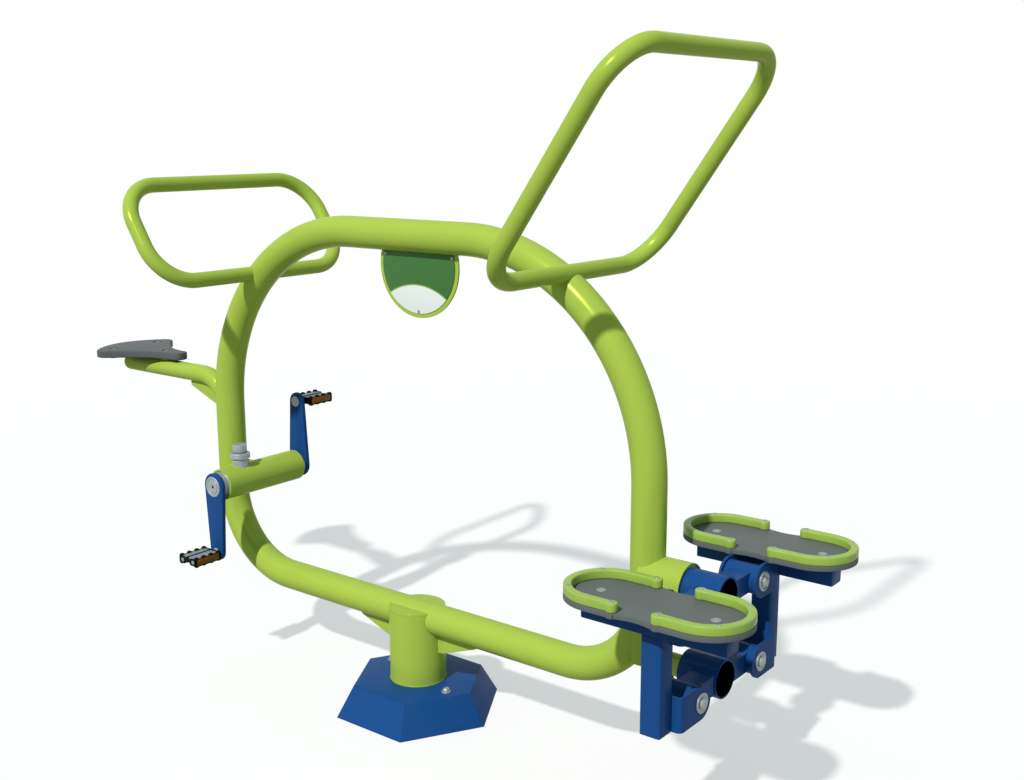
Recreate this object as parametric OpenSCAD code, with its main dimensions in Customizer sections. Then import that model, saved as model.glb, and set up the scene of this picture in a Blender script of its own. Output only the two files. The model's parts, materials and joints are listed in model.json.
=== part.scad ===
// Outdoor exercise station: a hand-held bike at one end and a stepper at the other.
// Frame axis along X (stepper at +X, seat at -X), Y across, Z up, origin on the ground
// under the middle of the base post. All sizes in millimetres.

/* [Main loop] */
// Outside diameter of the main tube
loop_d = 76.1; // [60:0.1:90]
// Wall of the main tube
loop_wall = 3.6; // [2.5:0.1:6]
// Distance from the base axis to the left upright
left_x = 676; // [640:1:720]
// Distance from the base axis to the right upright
right_x = 662; // [640:1:700]
// Height of the top tube axis
top_z = 1170; // [1120:1:1230]
// Height of the bottom rail axis
rail_z = 239; // [225:1:260]
// Bend radius, upper left
bend_ul = 480; // [440:1:500]
// Bend radius, upper right
bend_ur = 492; // [450:1:510]
// Bend radius, lower left
bend_ll = 218; // [180:1:240]
// Bend radius, lower right
bend_lr = 206; // [180:1:230]
// Distance from the base axis to the start of the lower right bend
rail_end_x = 455; // [430:1:470]
// Height of the lower end of the right upright
upright_foot_z = 302; // [298:1:306]
// Gap left at a coped weld
weld_gap = 0.1; // [0.05:0.01:0.3]

/* [Base] */
// Distance between opposite corners of the cover at the ground
cover_foot_d = 422; // [390:1:460]
// Distance between opposite corners of the cover top
cover_top_d = 335; // [320:1:350]
// Height of the cover
cover_h = 74.5; // [68:0.5:90]
// Sheet thickness of the cover
cover_wall = 3; // [2:0.5:4]
// Distance between opposite corners of the base flange
flange_d = 380; // [360:1:386]
// Thickness of the base flange
flange_t = 20; // [14:1:24]
// Outside diameter of the base post
post_d = 139.7; // [120:0.1:150]
// Wall of the base post
post_wall = 6; // [4:0.5:8]
// Height of the top of the base post
post_top_z = 262; // [258:1:272]
// Thickness of welded end discs
disc_t = 5; // [4:0.5:8]
// Anchor bolt circle
anchor_pcd = 250; // [230:1:270]
// Anchor bolt diameter
anchor_d = 16; // [12:1:18]
// Anchor hole diameter
anchor_hole_d = 18; // [18:1:20]
// Number of anchor bolts
anchor_count = 6; // [4:2:6]
// Radius on which the cover nuts stand
cover_nut_r = 120; // [105:1:124]
// Angle of the first cover nut
cover_nut_angle = -14; // [-30:1:30]
// Width of the dome of a cover nut
cover_nut_d = 22; // [18:1:24]
// Thickness of the welded gusset plates
gusset_t = 8; // [5:1:12]
// Reach of the gussets beyond the post
gusset_reach = 120; // [90:1:150]
// Height of the lower end of the gussets on the post
gusset_foot_z = 155; // [140:1:168]

/* [Handles] */
// Outside diameter of the handle tube
handle_d = 38.1; // [32:0.1:45]
// Wall of the handle tube
handle_wall = 2.6; // [2:0.1:4]
// Bend radius of the handle corners
handle_bend = 105; // [80:1:120]
// Half width of the bike handle, between tube axes
bike_handle_half = 307; // [260:1:330]
// Length of the bike handle up its slope, between tube axes
bike_handle_len = 275; // [250:1:320]
// Slope of the bike handle, from the +X direction
bike_handle_slope = 123.6; // [110:0.1:135]
// Distance of the bike handle foot beyond the axis of the upper left bend tube
bike_handle_out = 10; // [0:1:14]
// Half width of the stepper handle, between tube axes
step_handle_half = 301; // [260:1:330]
// Length of the stepper handle up its slope, between tube axes
step_handle_len = 550; // [480:1:600]
// Slope of the stepper handle, from the +X direction
step_handle_slope = 54.5; // [45:0.1:65]
// Distance of the stepper handle foot beyond the axis of the upper right bend tube
step_handle_out = 29; // [24:1:32]

/* [Seat] */
// Outside diameter of the seat arm
arm_d = 48.3; // [42:0.1:55]
// Wall of the seat arm
arm_wall = 3.2; // [2.5:0.1:5]
// Height of the seat arm axis
arm_z = 750; // [720:1:780]
// Length of the straight part of the seat arm
arm_len = 340; // [320:1:380]
// Distance from the left upright axis to the start of the arm bend
arm_out = 109; // [100:1:118]
// Thickness of the seat
seat_t = 20; // [15:1:30]
// Thickness of the steel plate under the seat
seat_plate_t = 6; // [5:0.5:10]
// Length of the seat
seat_len = 291; // [270:1:320]
// Width of the seat across the rear lobes
seat_w = 248; // [220:1:270]
// Width of the seat nose
nose_w = 44; // [36:1:60]
// Distance from the seat rear to its rear bolts
seat_bolt_rear = 73; // [60:1:85]
// Distance between the rear and the front seat bolts
seat_bolt_run = 144; // [120:1:155]
// Distance between the two rear seat bolts
seat_bolt_span = 150; // [120:1:160]
// Edge rounding of the seat
seat_edge = 4; // [2:0.5:6]

/* [Crank] */
// Distance from the left upright axis to the crank axis
crank_out = 104; // [98:1:112]
// Height of the crank axis
crank_z = 498; // [480:1:520]
// Crank length, axis to pedal axis
crank_len = 177; // [165:1:180]
// Outside diameter of the crank housing
housing_d = 82.5; // [80:0.1:90]
// Length of the crank housing
housing_len = 258; // [240:1:280]
// Outside diameter of the crank bearings
bearing_d = 72; // [68:1:74]
// Width of the crank bearings
bearing_w = 17; // [14:1:20]
// Diameter of the crank spindle
spindle_d = 35; // [30:1:40]
// Thickness of the cover rings inside the housing ends
ring_t = 6; // [4:0.5:8]
// Reach of the cover rings beyond the housing ends
ring_reach = 12; // [8:0.5:14]
// Thickness of the crank arms
crank_t = 13; // [10:1:18]
// Width of a crank arm at the spindle
crank_hub_d = 71; // [64:1:74]
// Width of a crank arm at the pedal
crank_eye_d = 49; // [40:1:52]
// Diameter of the cap over the spindle end
crank_cap_d = 54; // [46:1:58]
// Diameter of the pedal axle
pedal_axle_d = 14; // [12:0.5:16]
// Diameter of the pedal axle head on the inner face of the crank arm
axle_head_d = 29; // [22:1:32]
// Width of a pedal, along X
pedal_w = 66; // [58:1:76]
// Length of a pedal, along its axle
pedal_len = 84; // [76:1:96]
// Thickness of a pedal
pedal_t = 27; // [24:1:30]
// Running gap between a crank arm and its pedal
pedal_gap = 11; // [6:0.5:14]

/* [Resistance adjuster] */
// Distance from the middle of the housing to the adjuster
adjuster_y = 61; // [40:1:80]
// Outside diameter of the adjuster boss
boss_d = 42.4; // [38:0.1:48]
// Height of the boss above the housing
boss_h = 18; // [14:1:26]
// Outside diameter of the lock ring
lock_d = 53; // [48:1:60]
// Height of the lock ring
lock_h = 15; // [10:1:18]
// Outside diameter of the knob
knob_d = 37; // [32:1:42]
// Height of the knob above the lock ring
knob_h = 22; // [16:1:30]
// Diameter of the adjuster screw
adjuster_screw_d = 16; // [12:1:18]

/* [Plaque] */
// Diameter of the plaque plate
plaque_d = 243; // [200:1:260]
// Drop of the plaque centre below the top tube axis
plaque_drop = 69; // [60:1:90]
// Distance of the plaque from the base axis
plaque_x = 27; // [-60:1:60]
// Thickness of the plaque plate
plaque_t = 4; // [3:0.5:6]
// Border of the plate outside the panel
plaque_border = 10; // [6:1:16]
// Thickness of the panel
panel_t = 2; // [1.5:0.5:3]

/* [Stepper] */
// Height of the upper rocker axis
upper_z = 483.5; // [480:0.5:490]
// Height of the lower rocker axis
lower_z = 304.5; // [302:0.5:310]
// Distance from a rocker axis to its pivots
pivot_r = 125; // [118:1:132]
// Outside diameter of the upper sleeve
sleeve_d = 101.6; // [98:0.1:106]
// Wall of the upper sleeve
sleeve_wall = 4; // [3:0.5:5]
// Reach of the upper sleeve beyond the right upright axis
sleeve_reach = 103; // [92:1:110]
// Outside diameter of the rocker hubs
hub_d = 83; // [80:0.1:86]
// Wall of the rocker hubs
hub_wall = 4; // [3:0.5:5]
// Reach of the rocker hubs beyond the right upright axis
hub_reach = 190; // [186:1:196]
// Length of the lower rocker hub
lower_hub_len = 90; // [80:1:96]
// Outside diameter of the lower stub
stub_d = 48.3; // [44:0.1:52]
// Wall of the lower stub
stub_wall = 5; // [4:0.5:7]
// Width of the rocker arms along X
rocker_w = 50; // [44:1:54]
// Height of the rocker arms
rocker_h = 43; // [38:1:46]
// Diameter of the pivot barrels
barrel_d = 62; // [56:1:66]
// Diameter of the pivot pins
pin_d = 20; // [16:1:22]
// Diameter of the pivot washers
washer_d = 42; // [36:1:46]
// Thickness of the pivot washers
washer_t = 4; // [3:0.5:6]
// Diameter of the domed pin heads
pin_head_d = 22; // [18:1:26]
// Wall of the pivot brackets
bracket_wall = 6; // [5:0.5:8]
// Gap between a barrel and the bracket cheeks
barrel_gap = 1; // [0.5:0.1:2]
// Height of the pivot brackets
bracket_h = 73; // [68:1:74]
// Outside bend radius of the pivot brackets
bracket_bend = 12; // [9:1:16]
// Square section of the posts
bar_w = 46; // [42:1:50]
// Square section of the beams
beam_w = 48; // [44:1:50]
// Wall of posts and beams
bar_wall = 4; // [3:0.5:6]
// Distance from the frame plane to the post axes
post_y = 226; // [220:1:232]
// Height of the foot of the posts
post_foot_z = 269; // [240:1:280]
// Height of the underside of the beams
beam_z = 472.5; // [462:0.5:476]
// Length of the beams
beam_len = 320; // [300:1:350]

/* [Footplates] */
// Thickness of the footplates
plate_t = 11; // [8:1:15]
// Length of the footplates
plate_len = 396; // [380:1:410]
// Width of the footplates over the lobes
plate_w = 177; // [168:1:184]
// Width of the footplates at the waist
waist_w = 160; // [152:1:166]
// Width of the curbs
curb_w = 17; // [14:1:20]
// Height of the curbs
curb_h = 19; // [14:1:24]
// Distance between the curb ends on one side
curb_gap = 99; // [90:1:110]
// Diameter of the bosses at the curb ends
curb_boss_d = 22; // [20:1:24]
// Distance between the two bolts of a footplate
plate_bolt_span = 252; // [240:1:262]
// Diameter of the footplate bolt heads
plate_bolt_d = 20; // [16:1:22]
// Diameter of the curb screw heads
curb_screw_d = 10; // [8:0.5:12]

/* [Hidden] */
$fn = 96;

lime = "#acc94f";
blue = "#1e4a86";
grey = "#6a6e70";
steel = "#b4b8bc";
black = "#141414";
amber = "#b4702a";
nylon = "#d8d8d0";
green = "#41703a";

over = 2;
slip = 0.05;
seat_clear = 0.3;
crank_clear = 0.8;
open_pivot_clear = 0.3;
small_round = 3;

loop_r = loop_d / 2;
ul = [-left_x + bend_ul, top_z - bend_ul];
ur = [right_x - bend_ur, top_z - bend_ur];
ll = [-left_x + bend_ll, rail_z + bend_ll];
lr = [rail_end_x, rail_z + bend_lr];
lr_sweep = 74;

// A point on a bend that lies a given distance outside the tube axis, where the
// direction from the bend centre has the given angle.
function out_of(centre, radius, angle) = [
    centre[0] + radius * cos(angle),
    centre[1] + radius * sin(angle)
];

bike_handle_angle = 133.2;
step_handle_angle = 56.7;
bike_foot = out_of(ul, bend_ul + bike_handle_out, bike_handle_angle);
step_foot = out_of(ur, bend_ur + step_handle_out, step_handle_angle);

crank_x = -left_x + crank_out;
housing_wall = (housing_d - bearing_d) / 2 - slip;
crank_in = housing_len / 2 + ring_reach + crank_clear;
adjuster_base_z = crank_z + housing_d / 2;
knob_base_z = adjuster_base_z + boss_h + lock_h;
brake_gap = 0.4;

sleeve_end = right_x + sleeve_reach;
hub_end = right_x + hub_reach;
rocker_cheek = 11.5;
barrel_len = rocker_w + 2 * rocker_cheek;
rocker_inset = 2.5;
rocker_x = hub_end - rocker_w / 2 - rocker_inset;
bracket_w = barrel_len + 2 * barrel_gap + 2 * bracket_wall;
bracket_y = post_y - bar_w / 2;
beam_top_z = beam_z + beam_w;
plate_z = beam_top_z;
plate_top_z = plate_z + plate_t;
curb_top_z = plate_top_z + curb_h;
levels = [upper_z, lower_z];

// Tubes and links

module pipe(d, wall, len) {
    difference() {
        cylinder(d = d, h = len);
        translate([0, 0, -over]) cylinder(d = d - 2 * wall, h = len + 2 * over);
    }
}

// A tube bend in the XZ plane round the given centre, from angle a0 over the sweep.
module bend(centre, radius, d, wall, a0, sweep) {
    translate([centre[0], 0, centre[1]])
    rotate([90, 0, 0])
    rotate([0, 0, a0])
    rotate_extrude(angle = sweep)
    translate([radius, 0])
    difference() {
        circle(d = d);
        if (wall > 0) circle(d = d - 2 * wall);
    }
}

module along_x(x, y, z) {
    translate([x, y, z]) rotate([0, 90, 0]) children();
}

module along_y(x, y, z) {
    translate([x, y, z]) rotate([-90, 0, 0]) children();
}

module mirror_y() {
    children();
    mirror([0, 1, 0]) children();
}

module left_upright_space(gap = 0) {
    translate([-left_x, 0, 0]) cylinder(d = loop_d + 2 * gap, h = top_z);
}

module right_upright_space(gap = 0) {
    translate([right_x, 0, upright_foot_z]) cylinder(d = loop_d + 2 * gap, h = ur[1] - upright_foot_z);
}

module foot_disc_space(gap = 0) {
    translate([right_x, 0, upright_foot_z - disc_t - gap])
    cylinder(d = loop_d + 2 * gap, h = disc_t + 2 * gap);
}

module rail_space(gap = 0) {
    along_x(-left_x, 0, rail_z) cylinder(d = loop_d + 2 * gap, h = 2 * left_x);
}

// A dome with a flat underside, standing on z = 0.
module dome(d, h) {
    r = (d * d / 4 + h * h) / (2 * h);
    rotate_extrude()
    intersection() {
        translate([0, h - r]) circle(r = r);
        square([d, h]);
    }
}

// Outline of a link whose two round ends lie on the X axis. Its sides run a hair inside
// the tangents of the ends.
link_ease = 0.2;

module link_outline(r0, r1, len) {
    tilt = asin((r0 - r1) / len);
    side0 = (r0 - link_ease) * [sin(tilt), cos(tilt)];
    side1 = (r1 - link_ease) * [sin(tilt), cos(tilt)];
    circle(r = r0);
    translate([len, 0]) circle(r = r1);
    polygon([
        side0,
        [len + side1[0], side1[1]],
        [len + side1[0], -side1[1]],
        [side0[0], -side0[1]]
    ]);
}

// Base

module hexagon(d0, d1, h) {
    cylinder(d1 = d0, d2 = d1, h = h, $fn = 6);
}

module cover_nut_places() {
    for (side = [0, 180]) rotate([0, 0, cover_nut_angle + side]) translate([cover_nut_r, 0, 0]) children();
}

module anchor_places() {
    for (i = [0 : anchor_count - 1])
        rotate([0, 0, (i + 0.5) * 360 / anchor_count]) translate([anchor_pcd / 2, 0, 0]) children();
}

stud_d = 10;

module base_flange() {
    color(lime)
    difference() {
        cylinder(d = flange_d, h = flange_t, $fn = 6);
        anchor_places() translate([0, 0, -over]) cylinder(d = anchor_hole_d, h = flange_t + 2 * over);
        cover_nut_places()
        translate([0, 0, -over])
        cylinder(d = stud_d + 2 * slip, h = flange_t + 2 * over);
    }
}

anchor_nut_h = 13;
anchor_washer_t = 3;
anchor_tip = 6;
anchor_foot = 1;
washer_share = 1.9;
nut_share = 1.7;

module anchor_bolts() {
    nut_z = flange_t + anchor_washer_t;
    color(steel)
    anchor_places() {
        translate([0, 0, anchor_foot]) cylinder(d = anchor_d, h = nut_z + anchor_nut_h + anchor_tip);
        translate([0, 0, flange_t]) cylinder(d = anchor_d * washer_share, h = anchor_washer_t);
        translate([0, 0, nut_z]) cylinder(d = anchor_d * nut_share, h = anchor_nut_h, $fn = 6);
    }
}

module base_cover() {
    slope_in = (cover_foot_d - cover_top_d) / cover_h;
    color(blue)
    difference() {
        hexagon(cover_foot_d, cover_top_d, cover_h);
        translate([0, 0, -over])
        hexagon(
            cover_foot_d - 2 * cover_wall * cover_share + slope_in * over,
            cover_top_d - 2 * cover_wall * cover_share + slope_in * cover_wall,
            cover_h - cover_wall + over
        );
        translate([0, 0, cover_h / 2]) cylinder(d = post_d + 2 * seat_clear, h = cover_h);
        cover_nut_places() cylinder(d = stud_d + 2 * seat_clear, h = 2 * cover_h);
    }
}

cover_share = 1.25;
nut_base_h = 3;
nut_dome_h = 9;
stud_foot = 1;

module cover_nuts() {
    color(steel)
    cover_nut_places() {
        translate([0, 0, stud_foot]) cylinder(d = stud_d, h = cover_h - stud_foot);
        translate([0, 0, cover_h]) cylinder(d = cover_nut_d, h = nut_base_h);
        translate([0, 0, cover_h + nut_base_h]) dome(cover_nut_d, nut_dome_h);
    }
}

module base_post() {
    color(lime)
    difference() {
        translate([0, 0, flange_t]) pipe(post_d, post_wall, post_top_z - disc_t - flange_t);
        rail_space(weld_gap);
    }
}

collar_t = 1;
collar_h = 3;

module post_collar() {
    color(nylon)
    translate([0, 0, cover_h])
    difference() {
        cylinder(d = post_d + 2 * collar_t + 2 * slip, h = collar_h);
        translate([0, 0, -over]) cylinder(d = post_d + 2 * slip, h = collar_h + 2 * over);
    }
}

module tube_caps() {
    color(lime) {
        difference() {
            translate([0, 0, post_top_z - disc_t]) cylinder(d = post_d, h = disc_t);
            rail_space(weld_gap);
        }
        translate([right_x, 0, upright_foot_z - disc_t]) cylinder(d = loop_d, h = disc_t);
    }
}

gusset_lip = 12;

module post_gusset() {
    rail_low = rail_z - loop_r;
    rotate([90, 0, 0])
    translate([0, 0, -gusset_t / 2])
    linear_extrude(gusset_t)
    polygon([
        [post_d / 2 + weld_gap, rail_low],
        [post_d / 2 + gusset_reach, rail_low],
        [post_d / 2 + gusset_reach, rail_low - gusset_lip / 2],
        [post_d / 2 + gusset_lip, gusset_foot_z],
        [post_d / 2 + weld_gap, gusset_foot_z]
    ]);
}

arm_gusset_reach = 122;
arm_gusset_lip = 12;
arm_gusset_drop = 84;

module arm_gusset() {
    arm_low = arm_z - arm_d / 2;
    foot_x = -left_x - loop_r;
    rotate([90, 0, 0])
    translate([0, 0, -gusset_t / 2])
    linear_extrude(gusset_t)
    polygon([
        [foot_x - arm_gusset_reach, arm_low + arm_gusset_lip],
        [foot_x - arm_gusset_reach, arm_low - arm_gusset_lip],
        [foot_x, arm_z - arm_gusset_drop],
        [foot_x + loop_wall, arm_z - arm_gusset_drop],
        [foot_x + loop_wall, arm_low + arm_gusset_lip]
    ]);
}

module gussets() {
    color(lime) {
        difference() {
            union() {
                post_gusset();
                mirror([1, 0, 0]) post_gusset();
            }
            rail_space(weld_gap);
            cylinder(d = post_d + 2 * weld_gap, h = post_top_z);
        }
        difference() {
            arm_gusset();
            seat_arm_solid(weld_gap);
            left_upright_space(weld_gap);
        }
    }
}

// Main loop

module bottom_rail() {
    color(lime)
    difference() {
        translate([lr[0], 0, lr[1]])
        union() {
            bend([0, 0], bend_lr, loop_d, loop_wall, -90, lr_sweep);
            translate([0, 0, -bend_lr]) rotate([0, -90, 0]) pipe(loop_d, loop_wall, lr[0] - ll[0]);
        }
        right_upright_space(weld_gap);
        foot_disc_space(weld_gap);
    }
}

// A bend and the straight runs at its ends, drawn round the bend's centre so that their rings match.
// The bend turns a quarter from the first run, which lies on the +X side and points down, to the second.
module bent_tube(centre, radius, d, wall, first, second) {
    translate([centre[0], 0, centre[1]])
    union() {
        bend([0, 0], radius, d, wall, 0, 90);
        if (first > 0) translate([radius, 0, 0]) rotate([180, 0, 0]) pipe(d, wall, first);
        if (second > 0) translate([0, 0, radius]) rotate([0, -90, 0]) pipe(d, wall, second);
    }
}

module left_upright() {
    color(lime)
    translate([ll[0], 0, ll[1]])
    union() {
        bend([0, 0], bend_ll, loop_d, loop_wall, 180, 90);
        translate([-bend_ll, 0, 0]) pipe(loop_d, loop_wall, ul[1] - ll[1] - weld_gap);
    }
}

module upper_left_bend() {
    color(lime) bend(ul, bend_ul, loop_d, loop_wall, 90, 90);
}

module right_upright() {
    color(lime)
    bent_tube(ur, bend_ur, loop_d, loop_wall, ur[1] - upright_foot_z, ur[0] - ul[0] - weld_gap);
}

// Handles

module handle_loop(half, len, d, wall) {
    inner_half = half - handle_bend;
    inner_len = len - 2 * handle_bend;
    for (s = [-1, 1]) {
        translate([handle_bend, s * half, 0]) rotate([0, 90, 0]) pipe(d, wall, inner_len);
    }
    for (x = [0, len]) {
        translate([x, -inner_half, 0]) rotate([-90, 0, 0]) pipe(d, wall, 2 * inner_half);
    }
    for (c = [[0, -1, 2], [0, 1, 1], [1, 1, 0], [1, -1, 3]])
        translate([handle_bend + c[0] * inner_len, c[1] * inner_half, 0])
        rotate([0, 0, 90 * c[2]])
        rotate_extrude(angle = 90)
        translate([handle_bend, 0])
        difference() {
            circle(d = d);
            circle(d = d - 2 * wall);
        }
}

module handle_at(foot, slope, half, len) {
    translate([foot[0], 0, foot[1]])
    rotate([0, -slope, 0])
    handle_loop(half, len, handle_d, handle_wall);
}

module bike_handle() {
    color(lime)
    difference() {
        handle_at(bike_foot, bike_handle_slope, bike_handle_half, bike_handle_len);
        bend(ul, bend_ul, loop_d + 2 * weld_gap, 0, 90, 90);
    }
}

module stepper_handle() {
    color(lime)
    difference() {
        handle_at(step_foot, step_handle_slope, step_handle_half, step_handle_len);
        bend(ur, bend_ur, loop_d + 2 * weld_gap, 0, 0, 90);
    }
}

// Seat

arm_start_x = -left_x - arm_out;
arm_weld_land = 3;
arm_bend = arm_out - loop_r + arm_d / 2 + arm_weld_land;
arm_end_x = arm_start_x - arm_len;
arm_nose_r = 14;

module arm_curve(d, wall) {
    bend([arm_start_x, arm_z - arm_bend], arm_bend, d, wall, 0, 90);
}

module seat_arm_solid(gap) {
    grow = 2 * gap;
    along_x(arm_end_x + arm_nose_r, 0, arm_z) cylinder(d = arm_d + grow, h = arm_len - arm_nose_r);
    arm_curve(arm_d + grow, 0);
}

// The closed end of the seat arm, with a rounded edge.
module arm_nose_outline(r, nose) {
    intersection() {
        square([r, nose]);
        union() {
            square([r - nose, nose]);
            translate([r - nose, 0]) circle(r = nose);
        }
    }
}

module arm_nose() {
    translate([arm_end_x + arm_nose_r, 0, arm_z])
    rotate([0, -90, 0])
    rotate_extrude()
    difference() {
        arm_nose_outline(arm_d / 2, arm_nose_r);
        translate([0, -slip]) arm_nose_outline(arm_d / 2 - arm_wall, arm_nose_r - arm_wall + slip);
    }
}

module seat_arm() {
    color(lime)
    difference() {
        union() {
            arm_nose();
            bent_tube([arm_start_x, arm_z - arm_bend], arm_bend, arm_d, arm_wall, 0, arm_len - arm_nose_r);
        }
        left_upright_space(weld_gap);
    }
}

seat_overhang = 36;
seat_rear_x = arm_end_x - seat_overhang;
seat_plate_z = arm_z + arm_d / 2;
seat_z = seat_plate_z + seat_plate_t;
seat_top_z = seat_z + seat_t;
seat_hole_d = 10.5;
seat_bolt_d = 10;
recess_d = 26;
recess_depth = 3;

module seat_bolt_places() {
    for (s = [-1, 1]) translate([seat_rear_x + seat_bolt_rear, s * seat_bolt_span / 2, 0]) children();
    translate([seat_rear_x + seat_bolt_rear + seat_bolt_run, 0, 0]) children();
}

function arc(cx, cy, r, a0, a1, steps) = [
    for (i = [0 : steps])
        let (a = a0 + (a1 - a0) * i / steps)
        [cx + r * cos(a), cy + r * sin(a)]
];

// Half outline of the seat from the middle of the nose to the middle of the rear.
// The side is a hollow curve between the nose corner and the lobe; the rear is a shallow arc.
lobe_r_share = 0.11;
nose_r_share = 0.85;
rear_bow_share = 0.195;
side_power = 2.1;
lobe_start = 43;
lobe_end = 139;

function seat_half(inset) =
    let (
        half = seat_w / 2 - inset,
        nose = nose_w / 2 - inset,
        len = seat_len - 2 * inset,
        lobe_r = seat_w * lobe_r_share - inset,
        nose_r = nose * nose_r_share,
        bow = seat_len * rear_bow_share,
        front = seat_rear_x + seat_len - inset,
        rear = seat_rear_x + inset,
        lobe_x = rear + bow + lobe_r / 2,
        side_x = lobe_x + lobe_r * cos(lobe_start),
        side_y = half - lobe_r + lobe_r * sin(lobe_start),
        back_x = lobe_x + lobe_r * cos(lobe_end),
        back_y = half - lobe_r + lobe_r * sin(lobe_end),
        steps = 18,
        back_steps = 12
    )
    concat(
        arc(front - nose_r, nose - nose_r, nose_r, 0, 85, 6),
        [for (i = [0 : steps - 1])
            let (t = i / steps)
            [front - nose_r - t * (front - nose_r - side_x), nose + (side_y - nose) * pow(t, side_power)]
        ],
        arc(lobe_x, half - lobe_r, lobe_r, lobe_start, lobe_end, 10),
        [for (i = [1 : back_steps])
            let (a = 1 - i / back_steps)
            [rear + (back_x - rear) * a * a, back_y * a]
        ]
    );

module seat_outline(inset) {
    half = seat_half(inset);
    n = len(half);
    polygon(concat(half, [for (i = [n - 2 : -1 : 0]) [half[i][0], -half[i][1]]]));
}

module seat() {
    color(grey)
    difference() {
        union() {
            translate([0, 0, seat_z + seat_edge]) linear_extrude(seat_t - 2 * seat_edge) seat_outline(0);
            translate([0, 0, seat_z + seat_edge / 3])
            linear_extrude(seat_t - 2 * seat_edge / 3)
            seat_outline(seat_edge * 0.3);
            translate([0, 0, seat_z]) linear_extrude(seat_t) seat_outline(seat_edge);
        }
        seat_bolt_places() {
            translate([0, 0, seat_z - over]) cylinder(d = seat_hole_d, h = seat_t + 2 * over);
            translate([0, 0, seat_top_z - recess_depth]) cylinder(d = recess_d, h = recess_depth + over);
        }
    }
}

seat_head_d = 22;
seat_head_h = 2.5;
seat_bolt_end = 1;

module seat_bolts() {
    color(steel)
    difference() {
        seat_bolt_places() {
            translate([0, 0, seat_top_z - recess_depth]) dome(seat_head_d, seat_head_h);
            translate([0, 0, seat_plate_z + seat_bolt_end])
            cylinder(d = seat_bolt_d, h = seat_plate_t + seat_t - recess_depth - seat_bolt_end + slip);
        }
        seat_arm_solid(weld_gap);
    }
}

plate_edge_share = 0.8;
lug_share = 0.56;

module seat_bracket() {
    x0 = seat_rear_x + seat_bolt_rear;
    x1 = x0 + seat_bolt_run;
    lug = recess_d * lug_share;
    bar = lug * plate_edge_share;
    color(lime)
    translate([0, 0, seat_plate_z])
    linear_extrude(seat_plate_t)
    difference() {
        union() {
            for (s = [-1, 1]) translate([x0, s * seat_bolt_span / 2]) circle(r = lug);
            translate([x1, 0]) circle(r = lug);
            translate([x0 - bar, -seat_bolt_span / 2]) square([2 * bar, seat_bolt_span]);
            translate([x0, -bar]) square([seat_bolt_run, 2 * bar]);
        }
        for (s = [-1, 1]) translate([x0, s * seat_bolt_span / 2]) circle(d = seat_hole_d);
        translate([x1, 0]) circle(d = seat_hole_d);
    }
}

// Crank

module crank_housing() {
    color(lime)
    difference() {
        along_y(crank_x, -housing_len / 2, crank_z) cylinder(d = housing_d, h = housing_len);
        along_y(crank_x, -housing_len / 2 - over, crank_z)
        cylinder(d = housing_d - 2 * housing_wall, h = housing_len + 2 * over);
        translate([crank_x, -adjuster_y, crank_z])
        cylinder(d = adjuster_screw_d + 2 * seat_clear, h = housing_d);
    }
}

bracket_plate_y = 60;
bracket_plate_h = 46;

module crank_bracket() {
    color(lime)
    difference() {
        for (s = [-1, 1])
            translate([-left_x, s * bracket_plate_y / 2 - gusset_t / 2, crank_z - bracket_plate_h / 2])
            cube([crank_x + left_x, gusset_t, bracket_plate_h]);
        left_upright_space(weld_gap);
        along_y(crank_x, -housing_len, crank_z) cylinder(d = housing_d + 2 * weld_gap, h = 2 * housing_len);
    }
}

module crank_bearings() {
    color(steel)
    mirror_y()
    along_y(crank_x, housing_len / 2 - bearing_w - ring_t, crank_z)
    difference() {
        cylinder(d = bearing_d, h = bearing_w);
        translate([0, 0, -over]) cylinder(d = spindle_d + 2 * slip, h = bearing_w + 2 * over);
    }
}

ring_share = 0.93;

module bearing_covers() {
    color(steel)
    mirror_y()
    along_y(crank_x, housing_len / 2 - ring_t, crank_z)
    difference() {
        union() {
            cylinder(d = bearing_d, h = ring_t);
            translate([0, 0, ring_t]) cylinder(d = bearing_d * ring_share, h = ring_reach);
        }
        translate([0, 0, -over])
        cylinder(d = spindle_d + 2 * seat_clear, h = ring_t + ring_reach + 2 * over);
    }
}

module adjuster_boss() {
    color(steel)
    difference() {
        translate([crank_x, -adjuster_y, 0]) {
            translate([0, 0, crank_z]) cylinder(d = boss_d, h = housing_d / 2 + boss_h);
            translate([0, 0, adjuster_base_z + boss_h]) cylinder(d = lock_d, h = lock_h);
        }
        translate([crank_x, -adjuster_y, crank_z])
        cylinder(d = adjuster_screw_d + 2 * slip, h = housing_d + boss_h + lock_h);
        along_y(crank_x, -housing_len, crank_z) cylinder(d = housing_d + 2 * weld_gap, h = 2 * housing_len);
    }
}

module adjuster_knob() {
    low = crank_z + spindle_d / 2 + brake_gap;
    color(steel)
    translate([crank_x, -adjuster_y, 0]) {
        translate([0, 0, knob_base_z + seat_clear]) cylinder(d = knob_d, h = knob_h);
        translate([0, 0, low]) cylinder(d = adjuster_screw_d, h = knob_base_z - low + knob_h / 2);
    }
}

cap_t = 2.5;
spigot_d = 26;

module crank_spindle() {
    mid = crank_in;
    color(steel)
    difference() {
        union() {
            along_y(crank_x, -mid, crank_z) cylinder(d = spindle_d, h = 2 * mid);
            along_y(crank_x, -mid - crank_t, crank_z) cylinder(d = spigot_d, h = 2 * (mid + crank_t));
        }
    }
}

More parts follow.
